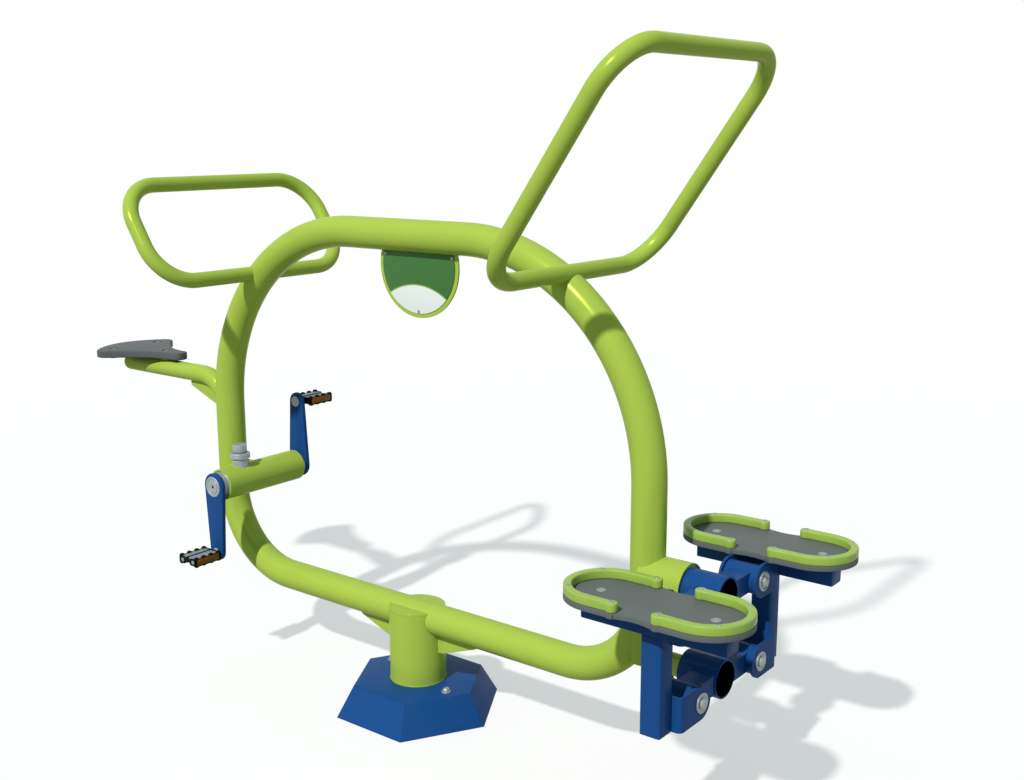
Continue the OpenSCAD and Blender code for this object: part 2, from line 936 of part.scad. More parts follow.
// A crank arm from the spindle towards +Z or -Z, its inner face at y = crank_in.
module crank_arm() {
    difference() {
        translate([crank_x, crank_in + crank_t, crank_z])
        rotate([90, 0, 0])
        linear_extrude(crank_t)
        rotate([0, 0, 90])
        difference() {
            link_outline(crank_hub_d / 2, crank_eye_d / 2, crank_len);
            circle(d = spigot_d + 2 * slip);
            translate([crank_len, 0]) circle(d = pedal_axle_d + 2 * slip);
        }
    }
}

// The front arm hangs down when the rear one stands up.
module front_crank_side() {
    translate([2 * crank_x, 0, 2 * crank_z]) rotate([0, 180, 0]) mirror([0, 1, 0]) children();
}

module crank_arms() {
    color(blue) {
        crank_arm();
        front_crank_side() crank_arm();
    }
}

cap_hole_d = 7;

module crank_cap() {
    along_y(crank_x, crank_in + crank_t, crank_z)
    difference() {
        cylinder(d = crank_cap_d, h = cap_t);
        translate([0, 0, cap_t / 2]) cylinder(d = cap_hole_d, h = cap_t);
    }
}

module crank_caps() {
    color(steel) {
        crank_cap();
        front_crank_side() crank_cap();
    }
}

axle_collar_d = 20;
axle_head_t = 3;

module pedal_axle() {
    eye_z = crank_z + crank_len;
    along_y(crank_x, crank_in - axle_head_t, eye_z) cylinder(d = axle_head_d, h = axle_head_t);
    along_y(crank_x, crank_in - axle_head_t, eye_z)
    cylinder(d = pedal_axle_d, h = axle_head_t + crank_t + pedal_gap + pedal_len - pedal_end_wall);
    along_y(crank_x, crank_in + crank_t, eye_z) cylinder(d = axle_collar_d, h = pedal_gap - seat_clear);
}

pedal_end_wall = 6;

module pedal_axles() {
    color(steel) {
        pedal_axle();
        front_crank_side() pedal_axle();
    }
}

// Pedals, built round the axle and then placed on the rear arm or turned to the front arm

pedal_rail_w = 11;
pedal_core_d = 24;
pedal_teeth = 7;
tooth_share = 0.5;
tooth_h = 2.5;
tread_w = 12;
tread_t = 2;
reflector_h = 13;
reflector_len_share = 0.8;
reflector_t = 3;
window_h = 15;

module pedal_place() {
    translate([crank_x, crank_in + crank_t + pedal_gap, crank_z + crank_len]) children();
}

module pedal_body() {
    half = pedal_w / 2;
    body_t = pedal_t - 2 * tooth_h;
    pitch = pedal_len / pedal_teeth;
    difference() {
        union() {
            for (s = [-1, 1]) {
                translate([s * (half - pedal_rail_w / 2) - pedal_rail_w / 2, 0, -body_t / 2])
                cube([pedal_rail_w, pedal_len, body_t]);
                for (i = [0 : pedal_teeth - 1])
                    translate([
                        s * (half - pedal_rail_w / 2) - pedal_rail_w / 2,
                        (i + (1 - tooth_share) / 2) * pitch,
                        -pedal_t / 2
                    ])
                    cube([pedal_rail_w, pitch * tooth_share, pedal_t]);
            }
            rotate([-90, 0, 0]) cylinder(d = pedal_core_d, h = pedal_len);
            for (y = [0, pedal_len - pedal_end_wall])
                translate([-half + pedal_rail_w / 2, y, -body_t / 2])
                cube([pedal_w - pedal_rail_w, pedal_end_wall, body_t]);
        }
        translate([0, -over, 0])
        rotate([-90, 0, 0])
        cylinder(d = pedal_axle_d + 2 * slip, h = pedal_len + over - pedal_end_wall / 2);
        for (s = [-1, 1]) {
            reflector_block(s, slip);
        }
    }
}

module pedal_treads() {
    half = pedal_w / 2;
    body_t = pedal_t - 2 * tooth_h;
    inner = half - pedal_rail_w;
    core_r = pedal_core_d / 2;
    for (s = [-1, 1])
        translate([s > 0 ? core_r + seat_clear : -inner, pedal_end_wall, -body_t / 2 + tread_t])
        cube([inner - core_r - seat_clear, pedal_len - 2 * pedal_end_wall, body_t - 2 * tread_t]);
}

module reflector_block(side, gap) {
    x = side * (pedal_w - reflector_t) / 2 - reflector_t / 2;
    y = pedal_len * (1 - reflector_len_share) / 2;
    translate([x - gap, y - gap, -reflector_h / 2 - gap])
    cube([reflector_t + 2 * gap, pedal_len * reflector_len_share + 2 * gap, reflector_h + 2 * gap]);
}

module pedal_reflectors() {
    for (s = [-1, 1]) reflector_block(s, 0);
}

module rear_pedal_body() {
    color(black) pedal_place() pedal_body();
}

module rear_pedal_treads() {
    color(steel) pedal_place() pedal_treads();
}

module rear_pedal_reflectors() {
    color(amber) pedal_place() pedal_reflectors();
}

module front_pedal_body() {
    color(black) front_crank_side() pedal_place() pedal_body();
}

module front_pedal_treads() {
    color(steel) front_crank_side() pedal_place() pedal_treads();
}

module front_pedal_reflectors() {
    color(amber) front_crank_side() pedal_place() pedal_reflectors();
}

// Plaque

plaque_z = top_z - plaque_drop;
plaque_screw_inset = 5;
plaque_screw_d = 8;
plaque_screw_h = 2;
plaque_screw_shank_d = 4;
plaque_screw_angles = [-90, 13, 167];

module top_tube_space(gap) {
    along_x(ul[0], 0, top_z) cylinder(d = loop_d + 2 * gap, h = ur[0] - ul[0]);
}

module plaque_screw_places() {
    r = plaque_d / 2 - plaque_border - plaque_screw_inset;
    for (a = plaque_screw_angles)
        translate([plaque_x + r * cos(a), -plaque_t / 2, plaque_z + r * sin(a)])
        rotate([90, 0, 0])
        children();
}

module plaque_plate() {
    color(lime)
    difference() {
        along_y(plaque_x, -plaque_t / 2, plaque_z) cylinder(d = plaque_d, h = plaque_t);
        top_tube_space(weld_gap);
        translate([plaque_x - plaque_d, -plaque_d, top_z]) cube([2 * plaque_d, 2 * plaque_d, plaque_d]);
        plaque_screw_places()
        translate([0, 0, -plaque_t - over])
        cylinder(d = plaque_screw_shank_d + 2 * slip, h = plaque_t + 2 * over);
    }
}

module plaque_panel() {
    color(green)
    difference() {
        along_y(plaque_x, -plaque_t / 2 - panel_t, plaque_z)
        cylinder(d = plaque_d - 2 * plaque_border, h = panel_t);
        top_tube_space(seat_clear);
        translate([plaque_x - plaque_d, -plaque_d, top_z]) cube([2 * plaque_d, 2 * plaque_d, plaque_d]);
        plaque_screw_places()
        translate([0, 0, -over])
        cylinder(d = plaque_screw_shank_d + 2 * slip, h = panel_t + 2 * over);
    }
}

module plaque_screws() {
    color(steel)
    plaque_screw_places() {
        translate([0, 0, panel_t]) dome(plaque_screw_d, plaque_screw_h);
        translate([0, 0, -plaque_t]) cylinder(d = plaque_screw_shank_d, h = plaque_t + panel_t + slip);
    }
}

// Stepper, fixed side

bush_len = 22;
thrust_gap = 1;

module upper_sleeve() {
    color(lime)
    difference() {
        along_x(right_x, 0, upper_z) cylinder(d = sleeve_d, h = sleeve_reach);
        along_x(right_x, 0, upper_z) cylinder(d = sleeve_d - 2 * sleeve_wall, h = sleeve_reach + over);
        right_upright_space(weld_gap);
    }
}

hub_back = 4;
hub_inner_x = right_x + loop_r + thrust_gap + hub_back;

module upper_bushes() {
    color(nylon)
    for (x = [hub_inner_x + thrust_gap, sleeve_end - bush_len - small_round])
        along_x(x, 0, upper_z)
        difference() {
            cylinder(d = sleeve_d - 2 * sleeve_wall - 2 * slip, h = bush_len);
            translate([0, 0, -over]) cylinder(d = hub_d + 2 * slip, h = bush_len + 2 * over);
        }
}

stub_short = 12;
stub_back = 22;

module lower_stub() {
    color(lime)
    difference() {
        along_x(right_x - stub_back, 0, lower_z)
        pipe(stub_d, stub_wall, stub_back + hub_reach - stub_short);
        right_upright_space(weld_gap);
        foot_disc_space(weld_gap);
        bend(lr, bend_lr, loop_d + 2 * weld_gap, 0, -90, 90);
    }
}

// Stepper, rockers

plug_t = 5;

module upper_hub() {
    color(blue)
    along_x(hub_inner_x, 0, upper_z) pipe(hub_d, hub_wall, hub_end - hub_inner_x);
}

module lower_hub() {
    color(blue)
    along_x(hub_end - lower_hub_len, 0, lower_z) pipe(hub_d, hub_wall, lower_hub_len);
}

plug_lip = 4;
plug_d = 70;

module hub_plug(z) {
    along_x(hub_end - plug_t, 0, z) cylinder(d = hub_d - 2 * hub_wall - 2 * slip, h = plug_t);
    along_x(hub_end, 0, z) cylinder(d = plug_d, h = plug_lip);
}

module upper_hub_plug() {
    color(black) hub_plug(upper_z);
}

module lower_hub_plug() {
    color(black) hub_plug(lower_z);
}

bush_wall = 4;

module rocker_arms(z) {
    bore = pin_d + 2 * bush_wall + 2 * slip;
    difference() {
        mirror_y() {
            translate([rocker_x - rocker_w / 2, 0, z - rocker_h / 2]) cube([rocker_w, pivot_r, rocker_h]);
            along_x(rocker_x - barrel_len / 2, pivot_r, z) cylinder(d = barrel_d, h = barrel_len);
        }
        along_x(rocker_x - barrel_len, 0, z) cylinder(d = hub_d + 2 * weld_gap, h = 2 * barrel_len);
        mirror_y() along_x(rocker_x - barrel_len, pivot_r, z) cylinder(d = bore, h = 2 * barrel_len);
    }
}

module upper_arms() {
    color(blue) rocker_arms(upper_z);
}

module lower_arms() {
    color(blue) rocker_arms(lower_z);
}

module pivot_bushes(z, clear) {
    mirror_y()
    along_x(rocker_x - barrel_len / 2, pivot_r, z)
    difference() {
        cylinder(d = pin_d + 2 * bush_wall, h = barrel_len);
        translate([0, 0, -over]) cylinder(d = pin_d + 2 * clear, h = barrel_len + 2 * over);
    }
}

module upper_pivot_bushes() {
    color(nylon) pivot_bushes(upper_z, slip);
}

module lower_bushes() {
    bush_start = hub_end - lower_hub_len + small_round;
    stub_end = hub_end - stub_short;
    color(nylon) {
        pivot_bushes(lower_z, open_pivot_clear);
        for (x = [bush_start, stub_end - bush_len])
            along_x(x, 0, lower_z)
            difference() {
                cylinder(d = hub_d - 2 * hub_wall - 2 * slip, h = bush_len);
                translate([0, 0, -over]) cylinder(d = stub_d + 2 * slip, h = bush_len + 2 * over);
            }
    }
}

// Stepper, one side: the footplate with its post and pivots. Each module draws the rear
// side and the front side is its mirror image.

module upright_bar() {
    translate([rocker_x - bar_w / 2, post_y - bar_w / 2, post_foot_z])
    difference() {
        cube([bar_w, bar_w, beam_z - post_foot_z - weld_gap]);
        translate([bar_wall, bar_wall, -over])
        cube([bar_w - 2 * bar_wall, bar_w - 2 * bar_wall, beam_z - post_foot_z + 2 * over]);
    }
}

bolt_hole_d = 10.5;

module plate_bolt_places() {
    for (s = [-1, 1]) translate([rocker_x + s * plate_bolt_span / 2, plate_y, 0]) children();
}

plate_shift = 4;
plate_y = post_y + plate_shift;

module beam() {
    hollow = beam_w - 2 * bar_wall;
    difference() {
        translate([rocker_x - beam_len / 2, bracket_y, beam_z]) cube([beam_len, beam_w, beam_w]);
        translate([rocker_x - beam_len / 2 + bar_wall, bracket_y + bar_wall, beam_z + bar_wall])
        cube([beam_len - 2 * bar_wall, hollow, hollow]);
        plate_bolt_places() translate([0, 0, beam_z + beam_w / 2]) cylinder(d = bolt_hole_d, h = beam_w);
    }
}

// A bent bracket on the inner face of the post, open towards the frame.
module bracket(z) {
    half_w = bracket_w / 2;
    inner = half_w - bracket_wall;
    reach = bracket_y - pivot_r;
    tip = reach + bracket_h / 2;
    translate([rocker_x, bracket_y, z])
    difference() {
        intersection() {
            translate([0, 0, -bracket_h / 2])
            linear_extrude(bracket_h)
            difference() {
                rounded_channel(half_w, tip, bracket_bend);
                translate([0, -bracket_wall]) rounded_channel(inner, tip, bracket_bend - bracket_wall);
            }
            rotate([90, 0, 90])
            translate([0, 0, -half_w])
            linear_extrude(bracket_w) {
                translate([-reach, 0]) circle(d = bracket_h);
                translate([-reach, -bracket_h / 2]) square([reach, bracket_h]);
            }
        }
        along_x(-bracket_w, -reach, 0) cylinder(d = pin_d + 2 * slip, h = 2 * bracket_w);
    }
}

// A block from y = 0 to y = -depth with both corners at y = 0 rounded.
module rounded_channel(half, depth, r) {
    translate([-half, -depth - over]) square([2 * half, depth + over - r]);
    translate([-half + r, -depth]) square([2 * half - 2 * r, depth]);
    for (s = [-1, 1]) translate([s * (half - r), -r]) circle(r = r);
}

module brackets() {
    for (z = levels) bracket(z);
}

lobe_x = (plate_len - plate_w) / 2;
boss_proud = 1;
boss_y = plate_w / 2 - curb_boss_d / 2 + boss_proud;
curb_boss_x = curb_gap / 2;
waist_chord = curb_boss_x - curb_boss_d / 4;
waist_dip = (plate_w - waist_w) / 2;
waist_r = (waist_chord * waist_chord + waist_dip * waist_dip) / (2 * waist_dip);

module boss_places() {
    for (sx = [-1, 1], sy = [-1, 1]) translate([sx * curb_boss_x, sy * boss_y]) children();
}

module plate_outline() {
    difference() {
        union() {
            for (s = [-1, 1]) translate([s * lobe_x, 0]) circle(d = plate_w);
            translate([-lobe_x, -plate_w / 2]) square([2 * lobe_x, plate_w]);
        }
        for (s = [-1, 1]) translate([0, s * (waist_w / 2 + waist_r)]) circle(r = waist_r);
    }
    boss_places() circle(d = curb_boss_d);
}

// A plain half of the footplate outline, from the curb ends to the tip, drawn at
// the given distance inside the edge.
module curb_half(inset) {
    w = plate_w - 2 * inset;
    translate([lobe_x, 0]) circle(d = w);
    translate([curb_boss_x, -w / 2]) square([lobe_x - curb_boss_x, w]);
}

module curb_outline() {
    for (s = [0, 180])
        rotate([0, 0, s])
        difference() {
            curb_half(0);
            curb_half(curb_w);
            translate([-plate_w, -plate_w]) square([plate_w + curb_boss_x, 2 * plate_w]);
        }
    boss_places() circle(d = curb_boss_d);
}

screw_arc_angle = 47;

module curb_screw_places() {
    boss_places() children();
    for (sx = [-1, 1], sy = [-1, 1])
        translate([
            sx * (lobe_x + (plate_w - curb_w) / 2 * cos(screw_arc_angle)),
            sy * (plate_w - curb_w) / 2 * sin(screw_arc_angle)
        ])
        children();
}

curb_shank_d = 5;
curb_screw_h = 1.5;
plate_bolt_h = 2;
plate_shank_d = 10;
plate_nut_h = 8;
plate_nut_d = 18;
screw_end = 2;

module footplate() {
    translate([0, 0, plate_z])
    difference() {
        translate([rocker_x, plate_y, 0])
        linear_extrude(plate_t)
        difference() {
            plate_outline();
            curb_screw_places() circle(d = curb_shank_d + 2 * slip);
        }
        plate_bolt_places() translate([0, 0, -over]) cylinder(d = bolt_hole_d, h = plate_t + 2 * over);
    }
}

module curbs() {
    translate([rocker_x, plate_y, plate_top_z])
    linear_extrude(curb_h)
    difference() {
        curb_outline();
        curb_screw_places() circle(d = curb_shank_d + 2 * slip);
    }
}

module plate_bolt() {
    nut_z = beam_top_z - bar_wall - plate_nut_h;
    translate([0, 0, plate_top_z]) dome(plate_bolt_d, plate_bolt_h);
    translate([0, 0, nut_z]) cylinder(d = plate_shank_d, h = plate_top_z - nut_z + slip);
    translate([0, 0, nut_z]) cylinder(d = plate_nut_d, h = plate_nut_h, $fn = 6);
}

module curb_screw() {
    translate([0, 0, curb_top_z]) dome(curb_screw_d, curb_screw_h);
    translate([0, 0, plate_z + screw_end])
    cylinder(d = curb_shank_d, h = plate_t + curb_h - screw_end + slip);
}

pin_dome_h = 7;

// A pin with a washer and a domed head at each cheek.
module pivot_pin(z) {
    half = bracket_w / 2;
    along_x(rocker_x - half - washer_t, pivot_r, z) cylinder(d = pin_d, h = bracket_w + 2 * washer_t);
    for (s = [0, 180])
        translate([rocker_x, pivot_r, z])
        rotate([0, 90 + s, 0])
        translate([0, 0, half + washer_t - slip])
        dome(pin_head_d, pin_dome_h);
}

module pivot_washers(z) {
    half = bracket_w / 2;
    for (x = [-half - washer_t, half])
        along_x(rocker_x + x, pivot_r, z)
        difference() {
            cylinder(d = washer_d, h = washer_t - slip);
            translate([0, 0, -over]) cylinder(d = pin_d + 2 * slip, h = washer_t + 2 * over);
        }
}

module fasteners() {
    plate_bolt_places() plate_bolt();
    translate([rocker_x, plate_y, 0]) curb_screw_places() curb_screw();
    for (z = levels) {
        pivot_pin(z);
        pivot_washers(z);
    }
}

module front_side() {
    mirror([0, 1, 0]) children();
}

module rear_post() {
    color(blue) upright_bar();
}

module rear_beam() {
    color(blue) beam();
}

module rear_brackets() {
    color(blue) brackets();
}

module rear_footplate() {
    color(grey) footplate();
}

module rear_curbs() {
    color(lime) curbs();
}

module rear_fasteners() {
    color(steel) fasteners();
}

module front_post() {
    color(blue) front_side() upright_bar();
}

module front_beam() {
    color(blue) front_side() beam();
}

module front_brackets() {
    color(blue) front_side() brackets();
}

module front_footplate() {
    color(grey) front_side() footplate();
}

module front_curbs() {
    color(lime) front_side() curbs();
}

module front_fasteners() {
    color(steel) front_side() fasteners();
}

base_flange();
anchor_bolts();
base_cover();
cover_nuts();
base_post();
tube_caps();
post_collar();
gussets();
bottom_rail();
left_upright();
upper_left_bend();
right_upright();
bike_handle();
stepper_handle();
seat_arm();
seat_bracket();
seat();
seat_bolts();
crank_housing();
crank_bracket();
crank_bearings();
bearing_covers();
adjuster_boss();
plaque_plate();
plaque_panel();
plaque_screws();
upper_sleeve();
upper_bushes();
lower_stub();
crank_spindle();
crank_arms();
crank_caps();
pedal_axles();
front_pedal_body();
front_pedal_treads();
front_pedal_reflectors();
rear_pedal_body();
rear_pedal_treads();
rear_pedal_reflectors();
adjuster_knob();
upper_hub();
upper_arms();
upper_pivot_bushes();
upper_hub_plug();
lower_hub();
lower_arms();
lower_bushes();
lower_hub_plug();
front_post();
front_beam();
front_brackets();
front_footplate();
front_curbs();
front_fasteners();
rear_post();
rear_beam();
rear_brackets();
rear_footplate();
rear_curbs();
rear_fasteners();
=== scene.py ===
import bpy
import bmesh
import json
import math
from mathutils import Matrix, Vector


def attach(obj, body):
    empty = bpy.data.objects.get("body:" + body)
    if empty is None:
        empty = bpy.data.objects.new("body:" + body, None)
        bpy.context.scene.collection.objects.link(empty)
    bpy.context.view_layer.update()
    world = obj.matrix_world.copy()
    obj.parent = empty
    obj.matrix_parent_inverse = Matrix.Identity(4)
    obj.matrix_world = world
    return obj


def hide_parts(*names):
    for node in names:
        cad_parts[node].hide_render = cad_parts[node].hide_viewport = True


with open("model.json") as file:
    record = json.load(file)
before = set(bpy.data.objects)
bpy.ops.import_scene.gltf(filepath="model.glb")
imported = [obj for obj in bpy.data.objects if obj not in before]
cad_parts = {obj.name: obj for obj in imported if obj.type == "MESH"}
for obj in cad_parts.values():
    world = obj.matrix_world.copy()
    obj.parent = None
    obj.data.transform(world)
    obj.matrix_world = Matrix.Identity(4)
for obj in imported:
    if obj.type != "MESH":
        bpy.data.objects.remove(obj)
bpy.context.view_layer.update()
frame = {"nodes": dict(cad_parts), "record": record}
nodes = frame["nodes"]
mm = 0.001
print("frame loaded:", len(nodes), "nodes")


# Node trees

def feed(target, inputs):
    # each input of a node takes a value, or another node's output
    for key, value in inputs.items():
        if isinstance(value, bpy.types.NodeSocket):
            target.id_data.links.new(value, target.inputs[key])
        else:
            target.inputs[key].default_value = value
    return target


def addNode(tree, kind, inputs=None, **settings):
    made = tree.nodes.new(kind)
    for key, value in settings.items():
        setattr(made, key, value)
    return feed(made, inputs or {})


def addSocket(tree, name, kind, way="INPUT"):
    return tree.interface.new_socket(name=name, in_out=way, socket_type="NodeSocket" + kind)


def mathNode(tree, operation, a, b):
    return addNode(tree, "ShaderNodeMath", {0: a, 1: b}, operation=operation).outputs[0]


def vectorNode(tree, operation, inputs, output="Vector"):
    return addNode(tree, "ShaderNodeVectorMath", inputs, operation=operation).outputs[output]


def rangeNode(tree, inputs):
    return addNode(tree, "ShaderNodeMapRange", inputs).outputs["Result"]


def mixNode(tree, factor, a, b, blend="MIX"):
    made = addNode(tree, "ShaderNodeMix", data_type="RGBA", blend_type=blend)
    return feed(made, {"Factor": factor, "A": a, "B": b}).outputs["Result"]


# Materials

def srgb(r, g, b):
    def lin(v):
        v /= 255
        return v / 12.92 if v < 0.04045 else ((v + 0.055) / 1.055) ** 2.4
    return (lin(r), lin(g), lin(b), 1.0)


colours = {
    "plainShine": (1.0, 1.0, 1.0, 1.0),
    "limeShine": (1.0, 0.9, 0.1, 1.0),
    "blueShine": (0.5, 0.75, 1.0, 1.0),
    "amberShine": (1.0, 0.7, 0.3, 1.0),
    "lime": srgb(167, 190, 76),
    "limePlastic": srgb(155, 182, 78),
    "blue": srgb(27, 73, 131),
    "greyPlastic": srgb(100, 104, 103),
    "seatGrey": srgb(96, 98, 99),
    "zinc": srgb(159, 166, 168),
    "stainless": srgb(150, 158, 156),
    "dullSteel": srgb(112, 117, 121),
    "black": srgb(4, 4, 5),
    "plugBlack": srgb(2, 2, 2),
    "tread": srgb(137, 150, 154),
    "amber": srgb(138, 82, 10),
    "panelGreen": srgb(64, 113, 54),
    "panelWhite": srgb(240, 243, 236),
    "panelEdge": srgb(150, 190, 90),
    "nylon": srgb(214, 214, 204),
    "dust": srgb(150, 146, 136),
}
# the skin group's inputs, with the values they start from; the edge one is a painted edge sheen with rubbed
# wear
skinInputs = {"Drift": 0.05, "Drift Scale": 6.0, "Grain Scale": 400.0, "Rough Low": 0.3, "Rough High": 0.4,
              "Dust": 0.1, "Edge Radius": 0.002, "Edge Sheen And Wear": 0.1}
skinLook = {"driftDetail": 3.0, "grainDetail": 2.0, "edgeSamples": 4, "edgeFrom": 0.995, "edgeFull": 0.8,
            "edgeGain": 1.9, "dustFrom": 0.75, "dustFull": 1.0}


def makeSkinGroup():
    # colour drift, fine grain, a trace of dust on top faces, and paler edges: rubbed wear with a painted
    # sheen
    group = bpy.data.node_groups.new("surfaceSkin", "ShaderNodeTree")
    for name in ("Colour", "Dust Colour"):
        addSocket(group, name, "Color").default_value = colours["dust"]
    for name, value in skinInputs.items():
        addSocket(group, name, "Float").default_value = value
    outputs = (("Colour", "Color"), ("Roughness", "Float"), ("Height", "Float"), ("Soft Normal", "Vector"))
    for name, kind in outputs:
        addSocket(group, name, kind, "OUTPUT")
    given = addNode(group, "NodeGroupInput").outputs
    place = addNode(group, "ShaderNodeTexCoord").outputs["Object"]
    drift, grain = (
        addNode(group, "ShaderNodeTexNoise", {
            "Vector": place, "Scale": given[name + " Scale"], "Detail": skinLook[detail]}).outputs["Fac"]
        for name, detail in (("Drift", "driftDetail"), ("Grain", "grainDetail")))

    # colour times 1 +- drift
    spread = mathNode(group, "SUBTRACT", drift, 0.5)
    amount = mathNode(group, "MULTIPLY", spread, given["Drift"])
    factor = mathNode(group, "ADD", amount, 1.0)
    tinted = vectorNode(group, "SCALE", {0: given["Colour"], "Scale": factor})

    # paler edges, rubbed wear with a painted sheen: where the rounded normal leaves the face normal
    soft = addNode(group, "ShaderNodeBevel", {"Radius": given["Edge Radius"]})
    soft.samples = skinLook["edgeSamples"]
    softNormal = soft.outputs["Normal"]
    normal = addNode(group, "ShaderNodeNewGeometry").outputs["Normal"]
    dot = vectorNode(group, "DOT_PRODUCT", {0: softNormal, 1: normal}, "Value")
    edge = rangeNode(group, {
        "Value": dot, "From Min": skinLook["edgeFrom"], "From Max": skinLook["edgeFull"]})
    # painted edge sheen with rubbed wear: edges mixed towards a paler copy of the colour
    sheenAndWear = mathNode(group, "MULTIPLY", edge, given["Edge Sheen And Wear"])
    paler = vectorNode(group, "SCALE", {0: tinted, "Scale": skinLook["edgeGain"]})
    lit = mixNode(group, sheenAndWear, tinted, paler)

    # dust lies on faces that look up
    up = addNode(group, "ShaderNodeSeparateXYZ", {0: normal}).outputs["Z"]
    upward = rangeNode(group, {
        "Value": up, "From Min": skinLook["dustFrom"], "From Max": skinLook["dustFull"]})
    patch = mathNode(group, "MULTIPLY", upward, drift)
    dusty = mathNode(group, "MULTIPLY", patch, given["Dust"])
    settled = mixNode(group, dusty, lit, given["Dust Colour"])

    rough = rangeNode(group, {
        "Value": drift, "To Min": given["Rough Low"], "To Max": given["Rough High"]})
    addNode(group, "NodeGroupOutput", {"Colour": settled, "Roughness": rough, "Height": grain,
                                       "Soft Normal": softNormal})
    return group


skinGroup = makeSkinGroup()
plainLook = {"bump": 0.1, "bumpDistance": 0.0005, "metallic": 0.0, "specular": 0.5, "shine": "plainShine",
             "coat": 0.0, "coatRoughness": 0.1}

# for each finish its colour, its values for skinInputs in their order, and where it leaves plainLook
finishes = {
    "limePaint": ("lime", (0.05, 5.0, 700.0, 0.2, 0.26, 0.02, 0.0018, 0.12),
                  {"bump": 0.05, "specular": 0.02, "metallic": 0.07, "shine": "limeShine"}),
    "bluePaint": ("blue", (0.06, 5.0, 700.0, 0.3, 0.38, 0.01, 0.0014, 0.12),
                  {"bump": 0.05, "specular": 0.02, "metallic": 0.02, "shine": "blueShine", "coat": 0.06,
                   "coatRoughness": 0.07}),
    "footGrey": ("greyPlastic", (0.06, 18.0, 900.0, 0.5, 0.62, 0.12, 0.0015, 0.05),
                 {"bump": 0.25, "bumpDistance": 0.0004, "specular": 0.08}),
    "seatGrey": ("seatGrey", (0.06, 14.0, 800.0, 0.42, 0.55, 0.06, 0.0015, 0.15),
                 {"bump": 0.22, "bumpDistance": 0.0004, "specular": 0.03}),
    "curbLime": ("limePlastic", (0.05, 12.0, 900.0, 0.26, 0.34, 0.04, 0.001, 0.04),
                 {"bump": 0.12, "bumpDistance": 0.0003, "specular": 0.14}),
    "zincSteel": ("zinc", (0.16, 60.0, 1500.0, 0.36, 0.5, 0.05, 0.0008, 0.1),
                  {"bump": 0.12, "metallic": 0.4}),
    "stainless": ("stainless", (0.12, 80.0, 2000.0, 0.38, 0.5, 0.03, 0.0006, 0.1),
                  {"bump": 0.08, "metallic": 0.6}),
    "dullSteel": ("dullSteel", (0.1, 60.0, 1500.0, 0.5, 0.6, 0.05, 0.0006, 0.05),
                  {"bump": 0.1, "specular": 0.05, "metallic": 0.15}),
    "blackPlastic": ("black", (0.2, 40.0, 1200.0, 0.5, 0.62, 0.02, 0.0006, 0.02),
                     {"bump": 0.15, "specular": 0.08}),
    "plugBlack": ("plugBlack", (0.2, 40.0, 1200.0, 0.7, 0.8, 0.0, 0.0006, 0.1),
                  {"bump": 0.15, "specular": 0.0}),
    "treadGrey": ("tread", (0.1, 60.0, 1600.0, 0.4, 0.52, 0.1, 0.0005, 0.08),
                  {"bump": 0.2, "metallic": 0.2}),
    "nylonWhite": ("nylon", (0.05, 40.0, 1500.0, 0.4, 0.5, 0.05, 0.0006, 0.02), {"bump": 0.08}),
    "amberLens": ("amber", (0.12, 90.0, 900.0, 0.2, 0.3, 0.02, 0.0004, 0.04),
                  {"specular": 0.25, "shine": "amberShine"}),
    "panelPrint": ("panelGreen", (0.04, 20.0, 1200.0, 0.3, 0.4, 0.0, 0.0004, 0.0),
                   {"bump": 0.03, "specular": 0.2}),
}


def makeMaterial(name, colour, skinValues, own):
    # the skin gives colour, roughness and relief; plain values are set on the shader itself
    look = {**plainLook, **own}
    mat = bpy.data.materials.new(name)
    mat.use_nodes = True
    tree = mat.node_tree
    skin = addNode(tree, "ShaderNodeGroup", node_tree=skinGroup)
    feed(skin, {"Colour": colours[colour], **dict(zip(skinInputs, skinValues))})
    bump = addNode(tree, "ShaderNodeBump", {
        "Strength": look["bump"], "Distance": look["bumpDistance"],
        "Height": skin.outputs["Height"], "Normal": skin.outputs["Soft Normal"]})
    feed(tree.nodes["Principled BSDF"], {
        "Base Color": skin.outputs["Colour"], "Roughness": skin.outputs["Roughness"],
        "Normal": bump.outputs["Normal"], "Metallic": look["metallic"],
        "Specular IOR Level": look["specular"], "Specular Tint": colours[look["shine"]],
        "Coat Weight": look["coat"], "Coat Roughness": look["coatRoughness"]})
    return mat


mats = {name: makeMaterial(name, *row) for name, row in finishes.items()}

lensCells = {"scale": 420.0, "bump": 0.5, "bumpDistance": 0.0006, "multiply": 0.5, "share": 0.55}


def addLensCells(mat):
    # a moulded lens: small cells under a clear face
    tree, shader = mat.node_tree, mat.node_tree.nodes["Principled BSDF"]
    colour = shader.inputs["Base Color"].links[0].from_socket
    place = addNode(tree, "ShaderNodeTexCoord").outputs["Object"]
    cells = addNode(tree, "ShaderNodeTexVoronoi", {"Vector": place, "Scale": lensCells["scale"]})
    distance = cells.outputs["Distance"]
    bump = addNode(tree, "ShaderNodeBump", {"Strength": lensCells["bump"], "Height": distance,
                                            "Distance": lensCells["bumpDistance"]})
    shade = mixNode(tree, lensCells["multiply"], colour, distance, "MULTIPLY")
    feed(shader, {"Normal": bump.outputs["Normal"],
                  "Base Color": mixNode(tree, lensCells["share"], colour, shade)})


panelArc = {"centre": (0.021, 0.0, 0.8943), "radius": 0.1609, "edge": 0.0028, "blur": 0.0002}


